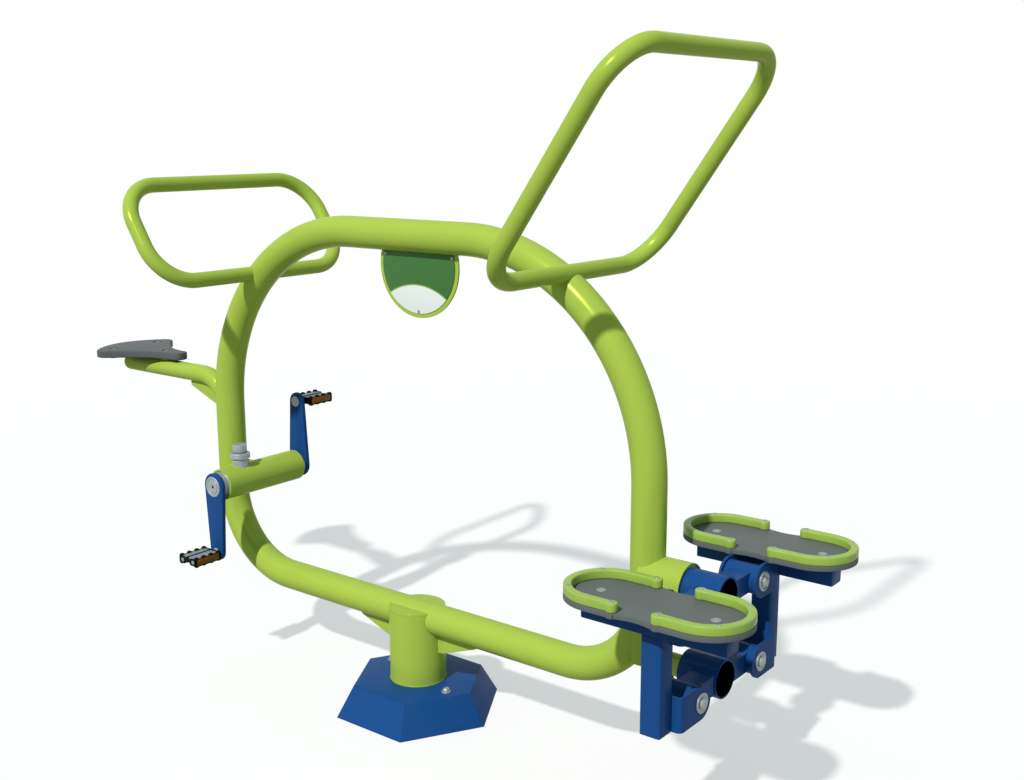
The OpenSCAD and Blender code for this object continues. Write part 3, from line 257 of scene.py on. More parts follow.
def addPanelPrint(mat):
    # a dark green field over a white one, parted by an arc with a pale green edge
    tree, shader = mat.node_tree, mat.node_tree.nodes["Principled BSDF"]
    colour = shader.inputs["Base Color"].links[0].from_socket
    place = addNode(tree, "ShaderNodeTexCoord").outputs["Object"]
    away = vectorNode(tree, "SUBTRACT", {0: place, 1: panelArc["centre"]})
    flat = vectorNode(tree, "MULTIPLY", {0: away, 1: (1, 0, 1)})
    size = vectorNode(tree, "LENGTH", {0: flat}, "Value")
    radius, blur = panelArc["radius"], panelArc["blur"]
    for reach, tone in ((radius + panelArc["edge"], "panelEdge"), (radius, "panelWhite")):
        inside = rangeNode(tree, {"Value": size, "From Min": reach + blur, "From Max": reach - blur})
        colour = mixNode(tree, inside, colour, colours[tone])
    feed(shader, {"Base Color": colour})


addLensCells(mats["amberLens"])
addPanelPrint(mats["panelPrint"])

slotMaterials = {
    "lime_paint": "limePaint", "blue_paint": "bluePaint", "grey_plastic": "footGrey",
    "lime_plastic": "curbLime", "steel": "zincSteel", "black_plastic": "blackPlastic",
    "amber_plastic": "amberLens", "nylon": "nylonWhite", "panel": "panelPrint",
}
slotOfNode = {s["node"]: s["material_slot"] for s in frame["record"]["subparts"]}
for nodeName, obj in nodes.items():
    obj.data.materials.clear()
    obj.data.materials.append(mats[slotMaterials[slotOfNode[nodeName]]])
print("materials ready")


# Shared makers

def newObject(name, data):
    obj = bpy.data.objects.new(name, data)
    bpy.context.scene.collection.objects.link(obj)
    return obj


def addPiece(name, mesh, body, material, replaced=(), smooth=30):
    mesh.materials.clear()
    mesh.materials.append(mats[material])
    obj = newObject(name, mesh)
    mesh.shade_smooth()
    mesh.set_sharp_from_angle(angle=math.radians(smooth))
    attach(obj, body)
    if replaced:
        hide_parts(*replaced)


def meshFrom(name, verts, faces):
    mesh = bpy.data.meshes.new(name)
    mesh.from_pydata(verts, [], faces)
    mesh.validate()
    mesh.update()
    return mesh


def meshOf(bm, name):
    mesh = bpy.data.meshes.new(name)
    bm.to_mesh(mesh)
    bm.free()
    return mesh


def fixNormals(mesh):
    bm = bmesh.new()
    bm.from_mesh(mesh)
    bmesh.ops.remove_doubles(bm, verts=bm.verts, dist=1e-6)
    bmesh.ops.recalc_face_normals(bm, faces=bm.faces)
    bm.to_mesh(mesh)
    bm.free()
    return mesh


def joinMeshes(name, meshes):
    bm = bmesh.new()
    for mesh in meshes:
        bm.from_mesh(mesh)
        bpy.data.meshes.remove(mesh)
    return meshOf(bm, name)


def applied(obj):
    # a plain mesh of the object with its modifiers; the object and its own mesh go
    mesh = obj.data
    done = bpy.data.meshes.new_from_object(obj.evaluated_get(bpy.context.evaluated_depsgraph_get()))
    bpy.data.objects.remove(obj)
    bpy.data.meshes.remove(mesh)
    return done


def finished(mesh, modifiers):
    # the mesh with these modifiers applied: pairs of a type and its settings
    obj = newObject("work", mesh)
    for kind, settings in modifiers:
        mod = obj.modifiers.new(kind.lower(), kind)
        for key, value in settings.items():
            setattr(mod, key, value)
    return applied(obj)


def moved(mesh, matrix):
    mesh.transform(matrix)
    if matrix.determinant() < 0:
        mesh.flip_normals()
    return mesh


def lathe(profile, steps, closed=False, flutes=(0, 0, 0)):
    # profile: (radius, height) pairs in mm, turned round Z; closed joins the last to the first.
    # flutes: how many, how deep, and the radius from which they are cut
    verts, faces, rings = [], [], []
    count, depth, start = flutes
    for r, h in profile:
        if r == 0:
            rings.append([len(verts)])
            verts.append((0, 0, h * mm))
        else:
            rings.append(list(range(len(verts), len(verts) + steps)))
            for i in range(steps):
                a = 2 * math.pi * i / steps
                q = r - (depth * (0.5 + 0.5 * math.cos(count * a)) if count and r >= start else 0)
                verts.append((q * mm * math.cos(a), q * mm * math.sin(a), h * mm))
    if closed:
        rings.append(rings[0])
    for low, high in zip(rings, rings[1:]):
        for i in range(steps):
            j = (i + 1) % steps
            if len(low) == 1:
                faces.append((low[0], high[j], high[i]))
            elif len(high) == 1:
                faces.append((low[i], low[j], high[0]))
            else:
                faces.append((low[i], low[j], high[j], high[i]))
    return fixNormals(meshFrom("lathe", verts, faces))


def ringVerts(bm, points, z):
    return [bm.verts.new((x * mm, y * mm, z * mm)) for x, y in points]


def ringWall(bm, low, high):
    for i in range(len(low)):
        j = (i + 1) % len(low)
        bm.faces.new((low[i], low[j], high[j], high[i]))


def fillFlat(bm, rings):
    # one flat face between these closed rings, in triangles
    edges = []
    for verts in rings:
        for i, v in enumerate(verts):
            pair = (v, verts[(i + 1) % len(verts)])
            edges.append(bm.edges.get(pair) or bm.edges.new(pair))
    bmesh.ops.triangle_fill(bm, use_beauty=True, use_dissolve=False, edges=edges)


def prism(outline, z0, z1, holes=()):
    # a closed outline in mm, extruded; holes are outlines cut through it
    bm = bmesh.new()
    rings = [(ringVerts(bm, points, z0), ringVerts(bm, points, z1)) for points in (outline, *holes)]
    for low, high in rings:
        ringWall(bm, low, high)
    for ends in zip(*rings):
        if holes:
            fillFlat(bm, ends)
        else:
            bm.faces.new(ends[0])
    bmesh.ops.recalc_face_normals(bm, faces=bm.faces)
    return meshOf(bm, "prism")


def bevelled(mesh, width, segments, angle):
    return finished(mesh, [("BEVEL", {
        "width": width * mm, "segments": segments, "limit_method": "ANGLE",
        "angle_limit": math.radians(angle), "miter_outer": "MITER_ARC"})])


def boxMesh(x0, x1, y0, y1, z0, z1):
    return prism([(x0, y0), (x1, y0), (x1, y1), (x0, y1)], z0, z1)


def onCircle(cx, cy, r, angle):
    return (cx + r * math.cos(math.radians(angle)), cy + r * math.sin(math.radians(angle)))


def arcPoints(cx, cy, r, a0, a1, steps):
    return [onCircle(cx, cy, r, a0 + (a1 - a0) * i / steps) for i in range(steps + 1)]


def circlePoints(cx, cy, r, steps):
    return arcPoints(cx, cy, r, 0, 360, steps)[:-1]


def cleanOutline(points, gap=0.05):
    # points closer than the gap to the one before are left out
    out = []
    for p in points:
        if not out or math.dist(p, out[-1]) > gap:
            out.append(p)
    if math.dist(out[0], out[-1]) <= gap:
        out.pop()
    return out


def bothHalves(upper, gap):
    # an outline from its upper half, mirrored in the x axis
    return cleanOutline(upper + [(x, -y) for x, y in reversed(upper[1:-1])], gap)


def rounded(w, h, r, steps, cx=0):
    # a rectangle with round corners
    x, y = w / 2 - r, h / 2 - r
    out = []
    for sx, sy, a in ((1, 1, 0), (-1, 1, 90), (-1, -1, 180), (1, -1, 270)):
        out += arcPoints(cx + sx * x, sy * y, r, a, a + 90, steps)
    return cleanOutline(out)


def at(x, y, z):
    return Matrix.Translation((x * mm, y * mm, z * mm))


def swapped(order):
    # the new x, y and z are the old axes in this order
    return Matrix([[float(axis == own) for axis in "xyz"] + [0] for own in order] + [[0, 0, 0, 1]])


alongX = Matrix.Rotation(math.radians(90), 4, "Y")
alongY = Matrix.Rotation(math.radians(-90), 4, "X")
standUp = Matrix.Rotation(math.radians(90), 4, "X")
mirrorY = Matrix.Scale(-1, 4, (0, 1, 0))
mirrorZ = Matrix.Scale(-1, 4, (0, 0, 1))


# Copies of one mesh, set by geometry node trees: on the points of a mesh, or in a row

copySeed = 4


def newTree(name, inputs):
    tree = bpy.data.node_groups.new(name, "GeometryNodeTree")
    for label, kind in inputs:
        addSocket(tree, label, kind)
    addSocket(tree, "Item", "Object")
    addSocket(tree, "Finish", "Material")
    addSocket(tree, "Geometry", "Geometry", "OUTPUT")
    return tree, addNode(tree, "NodeGroupInput").outputs


def endTree(tree, given, points, more):
    # the item on every point, made real, with its finish
    item = addNode(tree, "GeometryNodeObjectInfo", {"Object": given["Item"]}).outputs["Geometry"]
    put = addNode(tree, "GeometryNodeInstanceOnPoints", {"Points": points, "Instance": item, **more})
    real = addNode(tree, "GeometryNodeRealizeInstances", {"Geometry": put.outputs["Instances"]})
    coat = addNode(tree, "GeometryNodeSetMaterial", {"Geometry": real.outputs["Geometry"],
                                                     "Material": given["Finish"]})
    addNode(tree, "NodeGroupOutput", {"Geometry": coat.outputs["Geometry"]})
    return tree


def makeFastenerTree():
    tree, given = newTree("setFasteners", (("Points", "Geometry"), ("Turn", "Vector"),
                                           ("Turn Spread", "Float")))
    # each one is turned a little about its own axis, from a fixed seed; input 3 and output 1 are the floats
    chance = addNode(tree, "FunctionNodeRandomValue", data_type="FLOAT")
    feed(chance, {"Seed": copySeed, 3: given["Turn Spread"]})
    spin = addNode(tree, "ShaderNodeCombineXYZ", {"Z": chance.outputs[1]})
    own = addNode(tree, "FunctionNodeEulerToRotation", {0: spin.outputs[0]})
    whole = addNode(tree, "FunctionNodeEulerToRotation", {0: given["Turn"]})
    turn = addNode(tree, "FunctionNodeRotateRotation", {0: whole.outputs[0], 1: own.outputs[0]},
                   rotation_space="LOCAL")
    return endTree(tree, given, given["Points"], {"Rotation": turn.outputs[0]})


def makeRowTree():
    tree, given = newTree("setRow", (("Geometry", "Geometry"), ("Count", "Int"),
                                     ("Start", "Vector"), ("Step", "Vector")))
    line = addNode(tree, "GeometryNodeMeshLine", {
        "Count": given["Count"], "Start Location": given["Start"], "Offset": given["Step"]}, mode="OFFSET")
    return endTree(tree, given, line.outputs["Mesh"], {})


fastenerTree = makeFastenerTree()
rowTree = makeRowTree()


def runTree(tree, points, item, material, values):
    # one plain mesh from a tree; points are in mm, values are the tree's own inputs by name
    obj = newObject("work", meshFrom("carrier", [[v * mm for v in p] for p in points], []))
    source = newObject("copySource", item)
    mod = obj.modifiers.new("tree", "NODES")
    mod.node_group = tree
    for name, value in {"Item": source, "Finish": mats[material], **values}.items():
        socket = next(s for s in tree.interface.items_tree if s.name == name and s.in_out == "INPUT")
        mod[socket.identifier] = value
    done = applied(obj)
    bpy.data.objects.remove(source)
    return done


def setFasteners(points, item, material, turn=(0, 0, 0), spread=0.0):
    # turn holds for all; spread is the most that each one may turn beyond it, in radians
    return runTree(fastenerTree, points, item, material, {"Turn": turn, "Turn Spread": spread})


def setRow(item, count, start, step, material):
    # start and step in mm
    return runTree(rowTree, [], item, material, {
        "Count": count, "Start": tuple(v * mm for v in start), "Step": tuple(v * mm for v in step)})


# shares of the radius and the height, from the foot up
headShares = ((1, 0.25), (0.93, 0.55), (0.8, 0.82), (0.62, 0.97))
nutShares = ((1, 0.25), (0.93, 0.5), (0.75, 0.76), (0.5, 0.92), (0.25, 0.985), (0, 1))


def buttonHead(d, h, socket, depth, sink=0.4):
    # a low round head with a round socket; it stands on z = 0 and goes a little below it
    r, q = d / 2, socket / 2
    profile = [(0, -sink), (r, -sink), *((r * a, h * b) for a, b in headShares), (socket * 0.62, h)]
    return lathe(profile + [(q, h * 0.97), (q, h - depth), (0, h - depth)], steps=24)


def domedNut(d, h, flange, flangeH, edge=0.6):
    r, q = d / 2, flange / 2
    profile = [(0, 0), (q, 0), (q, flangeH * 0.6), (q - edge, flangeH), (r * 1.02, flangeH)]
    return lathe(profile + [(r * a, flangeH + h * b) for a, b in nutShares], steps=30)


# Base

base = {"sides": 6, "foot": 422, "top": 335, "height": 74.5, "wall": 3.0, "edge": 1.0, "sharpAngle": 25,
        "postD": 139.7, "postGap": 0.5, "holeSteps": 72, "nutR": 120, "nutAngle": -14,
        "nut": {"d": 18, "h": 9, "flange": 24, "flangeH": 3}}


def makeCover():
    bm = bmesh.new()
    foot = ringVerts(bm, circlePoints(0, 0, base["foot"] / 2, base["sides"]), 0)
    top = ringVerts(bm, circlePoints(0, 0, base["top"] / 2, base["sides"]), base["height"])
    ringWall(bm, foot, top)
    lip = circlePoints(0, 0, base["postD"] / 2 + base["postGap"], base["holeSteps"])
    fillFlat(bm, (top, ringVerts(bm, lip, base["height"])))
    bmesh.ops.recalc_face_normals(bm, faces=bm.faces)
    if sum(f.normal.z for f in bm.faces) < 0:
        bmesh.ops.reverse_faces(bm, faces=bm.faces)
    shell = finished(meshOf(bm, "cover"), [
        ("BEVEL", {"width": base["edge"] * mm, "segments": 3, "limit_method": "ANGLE",
                   "angle_limit": math.radians(base["sharpAngle"])}),
        ("SOLIDIFY", {"thickness": base["wall"] * mm, "offset": -1.0, "use_even_offset": True}),
    ])
    for v in shell.vertices:
        v.co.z = max(v.co.z, 0)  # the inner edge of the wall ends on the ground as well
    return shell


addPiece("baseCover", makeCover(), "frame", "bluePaint", ["base_cover"], 20)
nutPlaces = [(*onCircle(0, 0, base["nutR"], base["nutAngle"] + turn), base["height"]) for turn in (0, 180)]
coverNuts = setFasteners(nutPlaces, domedNut(**base["nut"]), "stainless")
addPiece("coverNuts", coverNuts, "frame", "stainless", ["cover_nuts"], 40)
print("base done")


# Frame tube: one closed loop of tube in the plane of X and Z, and the foot of the right upright below it

frameTube = {"d": 76.1, "left": -676, "right": 662, "top": 1170, "rail": 239, "foot": 302,
             "round": 64, "arcStep": 2.25,
             "bends": {"upperRight": 492, "upperLeft": 480, "lowerLeft": 218, "lowerRight": 207}}


def makeFrameTube():
    r, n = frameTube["d"] / 2, frameTube["round"]
    steps = round(90 / frameTube["arcStep"])
    stations = []
    for i, (corner, radius) in enumerate(frameTube["bends"].items()):
        cx = frameTube["right"] - radius if corner.endswith("Right") else frameTube["left"] + radius
        cz = frameTube["top"] - radius if corner.startswith("upper") else frameTube["rail"] + radius
        for k in range(steps + 1):
            a = math.radians(90 * i + 90 * k / steps)
            stations.append((cx + radius * math.cos(a), cz + radius * math.sin(a), a))
    verts, faces = [], []
    for i, (x, z, a) in enumerate(stations):
        low, high = i * n, (i + 1) % len(stations) * n
        for k in range(n):
            q = 2 * math.pi * k / n
            out = r * math.cos(q)
            verts.append(((x + out * math.cos(a)) * mm, r * math.sin(q) * mm, (z + out * math.sin(a)) * mm))
            faces.append((low + k, low + (k + 1) % n, high + (k + 1) % n, high + k))
    loop = fixNormals(meshFrom("loop", verts, faces))
    top = frameTube["rail"] + frameTube["bends"]["lowerRight"]
    foot = lathe([(0, frameTube["foot"]), (r, frameTube["foot"]), (r, top), (0, top)], steps=n)
    return joinMeshes("frameTube", [loop, moved(foot, at(frameTube["right"], 0, 0))])


addPiece("frameTube", makeFrameTube(), "frame", "limePaint",
         ["left_upright", "upper_left_bend", "right_upright", "bottom_rail"], 35)
print("frame tube done")


# Seat

seat = {"rear": -1161, "length": 291, "width": 248, "nose": 44, "z0": 778.9, "thick": 21.25,
        "edgeUnder": 4.5, "edgeOver": 3.6, "edgeSteps": 6, "gap": 0.3,
        "lobeShare": 0.11, "noseShare": 0.85, "bowShare": 0.195, "power": 2.1,
        "noseAngle": 85, "sideAngle": 43, "backAngle": 139,
        "noseSteps": 8, "sideSteps": 24, "lobeSteps": 12, "backSteps": 16,
        "boltRear": 73, "boltRun": 144, "boltSpan": 150,
        "recess": 26, "recessDepth": 2.4, "recessEdge": 0.7, "recessSteps": 36,
        "head": {"d": 18, "h": 2.0, "socket": 7, "depth": 1.2}}


def seatOutline():
    half, nose, rear = seat["width"] / 2, seat["nose"] / 2, seat["rear"]
    lobeR = seat["width"] * seat["lobeShare"]
    noseR = nose * seat["noseShare"]
    tip = rear + seat["length"] - noseR
    lobe = (rear + seat["length"] * seat["bowShare"] + lobeR / 2, half - lobeR, lobeR)
    sideX, sideY = onCircle(*lobe, seat["sideAngle"])
    backX, backY = onCircle(*lobe, seat["backAngle"])
    points = arcPoints(tip, nose - noseR, noseR, 0, seat["noseAngle"], seat["noseSteps"])
    for i in range(seat["sideSteps"]):
        t = i / seat["sideSteps"]
        points.append((tip - t * (tip - sideX), nose + (sideY - nose) * t ** seat["power"]))
    points += arcPoints(*lobe, seat["sideAngle"], seat["backAngle"], seat["lobeSteps"])
    for i in range(1, seat["backSteps"] + 1):
        a = 1 - i / seat["backSteps"]
        points.append((rear + (backX - rear) * a * a, backY * a))
    return bothHalves(cleanOutline(points, seat["gap"]), seat["gap"])


seatBolts = [(seat["rear"] + seat["boltRear"], s * seat["boltSpan"] / 2) for s in (-1, 1)]
seatBolts.append((seat["rear"] + seat["boltRear"] + seat["boltRun"], 0))
seatTop = seat["z0"] + seat["thick"]


def inset(points, d):
    # each point of a closed outline moved inwards by d
    out = []
    for i, (x, y) in enumerate(points):
        (x0, y0), (x1, y1) = points[i - 1], points[(i + 1) % len(points)]
        size = math.dist((x0, y0), (x1, y1))
        out.append((x - (y1 - y0) / size * d, y + (x1 - x0) / size * d))
    return out


def makeSeat():
    # rings up the rounded side, then the top with the three bolt recesses sunk into it
    bm = bmesh.new()
    outline = seatOutline()
    turns = [math.radians(90 * k / seat["edgeSteps"]) for k in range(seat["edgeSteps"] + 1)]
    under, over = seat["edgeUnder"], seat["edgeOver"]
    side = [(under * (1 - math.sin(a)), seat["z0"] + under * (1 - math.cos(a))) for a in turns]
    side += [(over * (1 - math.cos(a)), seatTop - over * (1 - math.sin(a))) for a in turns]
    walls = [[ringVerts(bm, inset(outline, d), z) for d, z in side]]
    r, soft = seat["recess"] / 2, seat["recessEdge"]
    recess = ((r + soft, seatTop), (r, seatTop - soft), (r, seatTop - seat["recessDepth"]))
    for x, y in seatBolts:
        walls.append([ringVerts(bm, circlePoints(x, y, q, seat["recessSteps"]), z) for q, z in recess])
    for rings in walls:
        for low, high in zip(rings, rings[1:]):
            ringWall(bm, low, high)
    for rings in walls[1:]:
        bm.faces.new(rings[-1])
    fillFlat(bm, (walls[0][-1], *(rings[0] for rings in walls[1:])))
    fillFlat(bm, (walls[0][0],))
    bmesh.ops.recalc_face_normals(bm, faces=bm.faces)
    return meshOf(bm, "seatBoard")


addPiece("seatBoard", makeSeat(), "frame", "seatGrey", ["seat"], 35)
headPlaces = [(x, y, seatTop - seat["recessDepth"]) for x, y in seatBolts]
seatHeads = setFasteners(headPlaces, buttonHead(**seat["head"]), "dullSteel", spread=1.0)
addPiece("seatBoltHeads", seatHeads, "frame", "dullSteel", smooth=40)
print("seat done")


# Crank: the arm is drawn towards +Z, and the profiles start from its inner or outer face

crank = {"x": -572, "z": 498, "length": 177, "inner": 141.8, "thick": 13, "hubD": 71, "eyeD": 49,
         "edge": 3.0, "linkSteps": 24, "steps": {"cap": 60, "plug": 24, "axleHead": 40, "axleCollar": 32},
         "cap": [(0, -0.3), (27, -0.3), (27, 1.2), (26, 2), (21.6, 2.1), (20.79, 0.9), (18.36, 0.9),
                 (17.55, 2.3), (8.1, 2.5), (6.48, 1.6), (4, 1.6), (3.8, 0.3), (0, 0.3)],
         "plug": [(0, 0.3), (3.9, 0.3), (3.9, 1.2), (3.3, 1.5), (0, 1.5)],
         "axleHead": [(0, 0.2), (14.5, 0.2), (14.5, -1.6), (13.3, -3), (6, -3), (5.2, -2.2), (0, -2.2)],
         "axleCollar": [(0, -0.3), (10, -0.3), (10, 3.2), (8.6, 4), (8.6, 10.6), (0, 10.6)]}
crankOuter = crank["inner"] + crank["thick"]
crankEye = crank["z"] + crank["length"]
halfTurnY = Matrix.Rotation(math.pi, 4, "Y")
turnFront = at(2 * crank["x"], 0, 2 * crank["z"]) @ halfTurnY @ mirrorY


def onCrank(part, y, z):
    return moved(lathe(crank[part], crank["steps"][part]), at(crank["x"], y, z) @ alongY)


def makeCrankArm():
    r0, r1, length = crank["hubD"] / 2, crank["eyeD"] / 2, crank["length"]
    tilt = math.degrees(math.asin((r0 - r1) / length))
    outline = arcPoints(length, 0, r1, -90 + tilt, 90 - tilt, crank["linkSteps"])
    outline += arcPoints(0, 0, r0, 90 - tilt, 270 + tilt, crank["linkSteps"] * 2)
    arm = prism(cleanOutline(outline), 0, crank["thick"])
    arm = bevelled(arm, crank["edge"], segments=4, angle=40)
    return moved(arm, at(crank["x"], crank["inner"], crank["z"]) @ swapped("yzx"))


def makeCrankCap():
    return onCrank("cap", crankOuter, crank["z"])


def makeCapPlug():
    return onCrank("plug", crankOuter, crank["z"])


def makeAxle():
    # flanged head on the arm's inner face, and the collar on its outer face
    return joinMeshes("axle", [onCrank("axleHead", crank["inner"], crankEye),
                               onCrank("axleCollar", crankOuter, crankEye)])


for name, maker, slot, material, replaced in (
    ("crankArms", makeCrankArm, "blue_paint", "bluePaint", ["crank_arms"]),
    ("crankCaps", makeCrankCap, "steel", "zincSteel", ["crank_caps"]),
    ("crankCapPlugs", makeCapPlug, "black_plastic", "blackPlastic", []),
    ("pedalAxles", makeAxle, "steel", "zincSteel", ["pedal_axles"]),
):
    both = joinMeshes(name, [maker(), moved(maker(), turnFront)])
    addPiece(name, both, "crank", material, replaced)
print("crank done")


# Crank housing ends and the adjuster

bearing = {"y": 123, "steps": 72,
           "cover": [(15.5, 0), (34.5, 0), (34.5, 5.2), (33.7, 6), (32, 6), (32, 16.6), (30.8, 18),
                     (27.5, 18), (26.8, 17.2), (21, 17.2), (20.4, 18), (15.5, 18)]}


def makeBearingCover():
    cover = lathe(bearing["cover"], bearing["steps"], closed=True)
    return moved(cover, at(crank["x"], bearing["y"], crank["z"]) @ alongY)


covers = joinMeshes("bearingCovers", [makeBearingCover(), moved(makeBearingCover(), mirrorY)])
addPiece("bearingCovers", covers, "frame", "zincSteel", ["bearing_covers"])

adjuster = {"x": -572, "y": -61, "z": 539.25, "bossSteps": 64, "knobSteps": 144, "flutes": (24, 0.7, 18.2),
            "boss": [(0, -6.2), (21.2, -6.2), (21.2, 12.2), (20.5, 13), (20.5, 14.2), (21.2, 15),
                     (21.2, 16.6), (20.2, 17.4), (20.2, 18), (25.2, 18), (26.5, 19.3), (26.5, 24.2),
                     (26, 24.7), (26, 25.5), (26.5, 26), (26.5, 31), (25, 32.6), (22.6, 33), (20.6, 33),
                     (20.2, 32.4), (0, 32.4)],
            "knob": [(0, 33.5), (16.6, 33.5), (16.6, 35.6), (17.6, 36.2), (18.5, 37.2), (18.5, 52.6),
                     (17.9, 54), (16.6, 55), (14.6, 55.3), (13.8, 54.8), (0, 54.6)]}
adjusterPlace = at(adjuster["x"], adjuster["y"], adjuster["z"])
boss = moved(lathe(adjuster["boss"], adjuster["bossSteps"]), adjusterPlace)
addPiece("adjusterBoss", boss, "frame", "zincSteel", ["adjuster_boss"])
knob = moved(lathe(adjuster["knob"], adjuster["knobSteps"], flutes=adjuster["flutes"]), adjusterPlace)
addPiece("adjusterKnob", knob, "knob", "zincSteel", ["adjuster_knob"])
print("adjuster done")


# Pedals, drawn round the axle: x across, y outwards from the arm, z up

pedal = {"w": 66, "len": 84, "t": 27, "gap": 11, "inset": 0.8, "wall": 5, "backR": 3.5,
         "barEdge": 0.9, "endEdge": 0.6,
         "railZ": 9.4, "railIn": 27.5,
         "lipZ": 12, "lipIn": 0.6, "lipOut": 0.3, "lipOverlap": 1, "lipEnd": 3,
         "ribIn": 9, "ribOut": 10.6, "ribZ": 7.2, "ribEnd": 2,
         "lobeR": 5, "windowW": 13, "windowH": 10.5, "windowR": 3,
         "bridge": (-3.5, 6), "bridgeEdge": 0.8, "bridgeIn": 0.5, "bridgeOver": 1,
         "bumps": 4, "bumpLen": 14, "bumpW": 8, "bumpTopShare": 0.28, "bumpSink": 1.6, "bumpEdge": 1.3,
         "treadZ": 8.8, "treadIn": 0.4, "treadStart": 1, "treadShort": 2, "treadEdge": 0.3,
         "grooveZ": 7.9, "groove": (0.9, 0.5),
         "barrel": {"d": 16.4, "in": 1, "short": 7, "edge": (1.5, 2)},
         "lensLen": 68, "lensH": 15.6, "lensT": 1.4, "lensEdge": 0.5}
outward = swapped("xzy")  # an outline stands upright, its thickness goes outwards


def makePedalBumps():
    # rounded bumps along both rails, above and below, their outer faces level with the pedal's side
    sink, width, length = pedal["bumpSink"], pedal["bumpW"], pedal["bumpLen"]
    rise = pedal["t"] / 2 - pedal["railZ"] + sink
    top = length * pedal["bumpTopShare"]
    outline = [(-length / 2, 0), (length / 2, 0), (top, rise), (-top, rise)]
    pitch = (pedal["len"] - length) / (pedal["bumps"] - 1)
    parts = []
    for side in (-1, 1):
        for flip in (-1, 1):
            x0 = side * (pedal["w"] / 2 - width / 2) - width / 2
            bump = moved(prism(outline, x0, x0 + width), swapped("zxy"))
            bump = bevelled(bump, pedal["bumpEdge"], segments=3, angle=30)
            if flip < 0:
                bump = moved(bump, mirrorZ)
            start = (0, length / 2, flip * (pedal["railZ"] - sink))
            parts.append(setRow(bump, pedal["bumps"], start, (0, pitch, 0), "blackPlastic"))
    return joinMeshes("bumps", parts)


def makePedalCage():
    # two blocks side by side: rails outside, ribs inside, lobes with a window at the free end
    length, wall, rz, ribIn = pedal["len"], pedal["wall"], pedal["railZ"], pedal["ribIn"]
    half = pedal["w"] / 2 - pedal["inset"]
    lipX = (pedal["railIn"] + pedal["lipIn"], half + pedal["lipOut"])
    parts = []
    for side in (-1, 1):
        for a, b, short, z0, z1 in (
            (pedal["railIn"], half, 0, -rz, rz),
            (*lipX, pedal["lipEnd"], -pedal["lipZ"], -rz + pedal["lipOverlap"]),
            (ribIn, pedal["ribOut"], pedal["ribEnd"], -pedal["ribZ"], pedal["ribZ"]),
        ):
            x0, x1 = sorted((side * a, side * b))
            bar = boxMesh(x0, x1, short, length - short, z0, z1)
            parts.append(bevelled(bar, pedal["barEdge"], segments=2, angle=40))
        middle = side * (ribIn + half) / 2
        window = rounded(pedal["windowW"], pedal["windowH"], pedal["windowR"], steps=4, cx=middle)
        lobe = rounded(half - ribIn, 2 * rz, pedal["lobeR"], steps=5, cx=middle)
        end = moved(prism(lobe, 0, wall, [window]), outward)
        end = bevelled(end, pedal["endEdge"], segments=2, angle=50)
        parts.append(moved(end, at(0, length - wall, 0)))
    inner, inside = ribIn + pedal["bridgeOver"], pedal["bridgeIn"]
    bridge = boxMesh(-inner, inner, length - wall + inside, length - inside, *pedal["bridge"])
    parts.append(bevelled(bridge, pedal["bridgeEdge"], segments=2, angle=40))
    back = moved(prism(rounded(2 * half, 2 * rz, pedal["backR"], steps=4), 0, wall), outward)
    parts.append(bevelled(back, pedal["endEdge"], segments=2, angle=50))
    return joinMeshes("cage", parts + [makePedalBumps()])


def makePedalTreads():
    # a grooved block between the rail and the rib of each side, and the barrel between them
    inner, outer = pedal["ribOut"] - pedal["treadIn"], pedal["railIn"] + pedal["treadIn"]
    y0, y1 = pedal["wall"] - pedal["treadStart"], pedal["len"] - pedal["treadShort"]
    z, low = pedal["treadZ"], pedal["grooveZ"]
    wide, narrow = pedal["groove"]
    top = [(inner, z)]
    for k in (1, 2):
        x = inner + k * (outer - inner) / 3
        top += [(x - wide, z), (x - narrow, low), (x + narrow, low), (x + wide, z)]
    top.append((outer, z))
    outline = top + [(x, -y) for x, y in reversed(top)]
    parts = []
    for side in (-1, 1):
        section = [(side * x, y) for x, y in outline]
        block = moved(prism(section, y0, y1), outward)
        parts.append(bevelled(block, pedal["treadEdge"], segments=1, angle=40))
    barrel = pedal["barrel"]
    r, start, end = barrel["d"] / 2, y0 - barrel["in"], y1 - barrel["short"]
    across, along = barrel["edge"]
    profile = [(0, start), (r, start), (r, end - along), (r - across, end), (0, end)]
    parts.append(moved(lathe(profile, steps=32), alongY))
    return joinMeshes("treads", parts)


def makePedalLenses():
    half, z = pedal["w"] / 2, pedal["lensH"] / 2
    y0 = (pedal["len"] - pedal["lensLen"]) / 2
    parts = []
    for side in (-1, 1):
        x0, x1 = sorted((side * (half - pedal["lensT"]), side * half))
        lens = boxMesh(x0, x1, y0, y0 + pedal["lensLen"], -z, z)
        parts.append(bevelled(lens, pedal["lensEdge"], segments=2, angle=40))
    return joinMeshes("lenses", parts)


pedalPlace = at(crank["x"], crankOuter + pedal["gap"], crankEye)
for body, place in (("rear_pedal", pedalPlace), ("front_pedal", turnFront @ pedalPlace @ halfTurnY)):
    for part, maker, slot, material, old in (
        ("Cage", makePedalCage, "black_plastic", "blackPlastic", "_body"),
        ("Treads", makePedalTreads, "steel", "treadGrey", "_treads"),
        ("Lenses", makePedalLenses, "amber_plastic", "amberLens", "_reflectors"),
    ):
        addPiece(body + part, moved(maker(), place), body, material, [body + old])
print("pedals done")


# Plaque

plaque = {"x": 27, "z": 1101, "d": 243, "border": 10, "front": -4, "back": -2, "top": 1131.8, "edge": 0.4,
          "arcSteps": 90, "screwR": 106.5, "angles": (-90, 13, 167),
          "head": {"d": 8, "h": 1.8, "socket": 3.4, "depth": 1}}


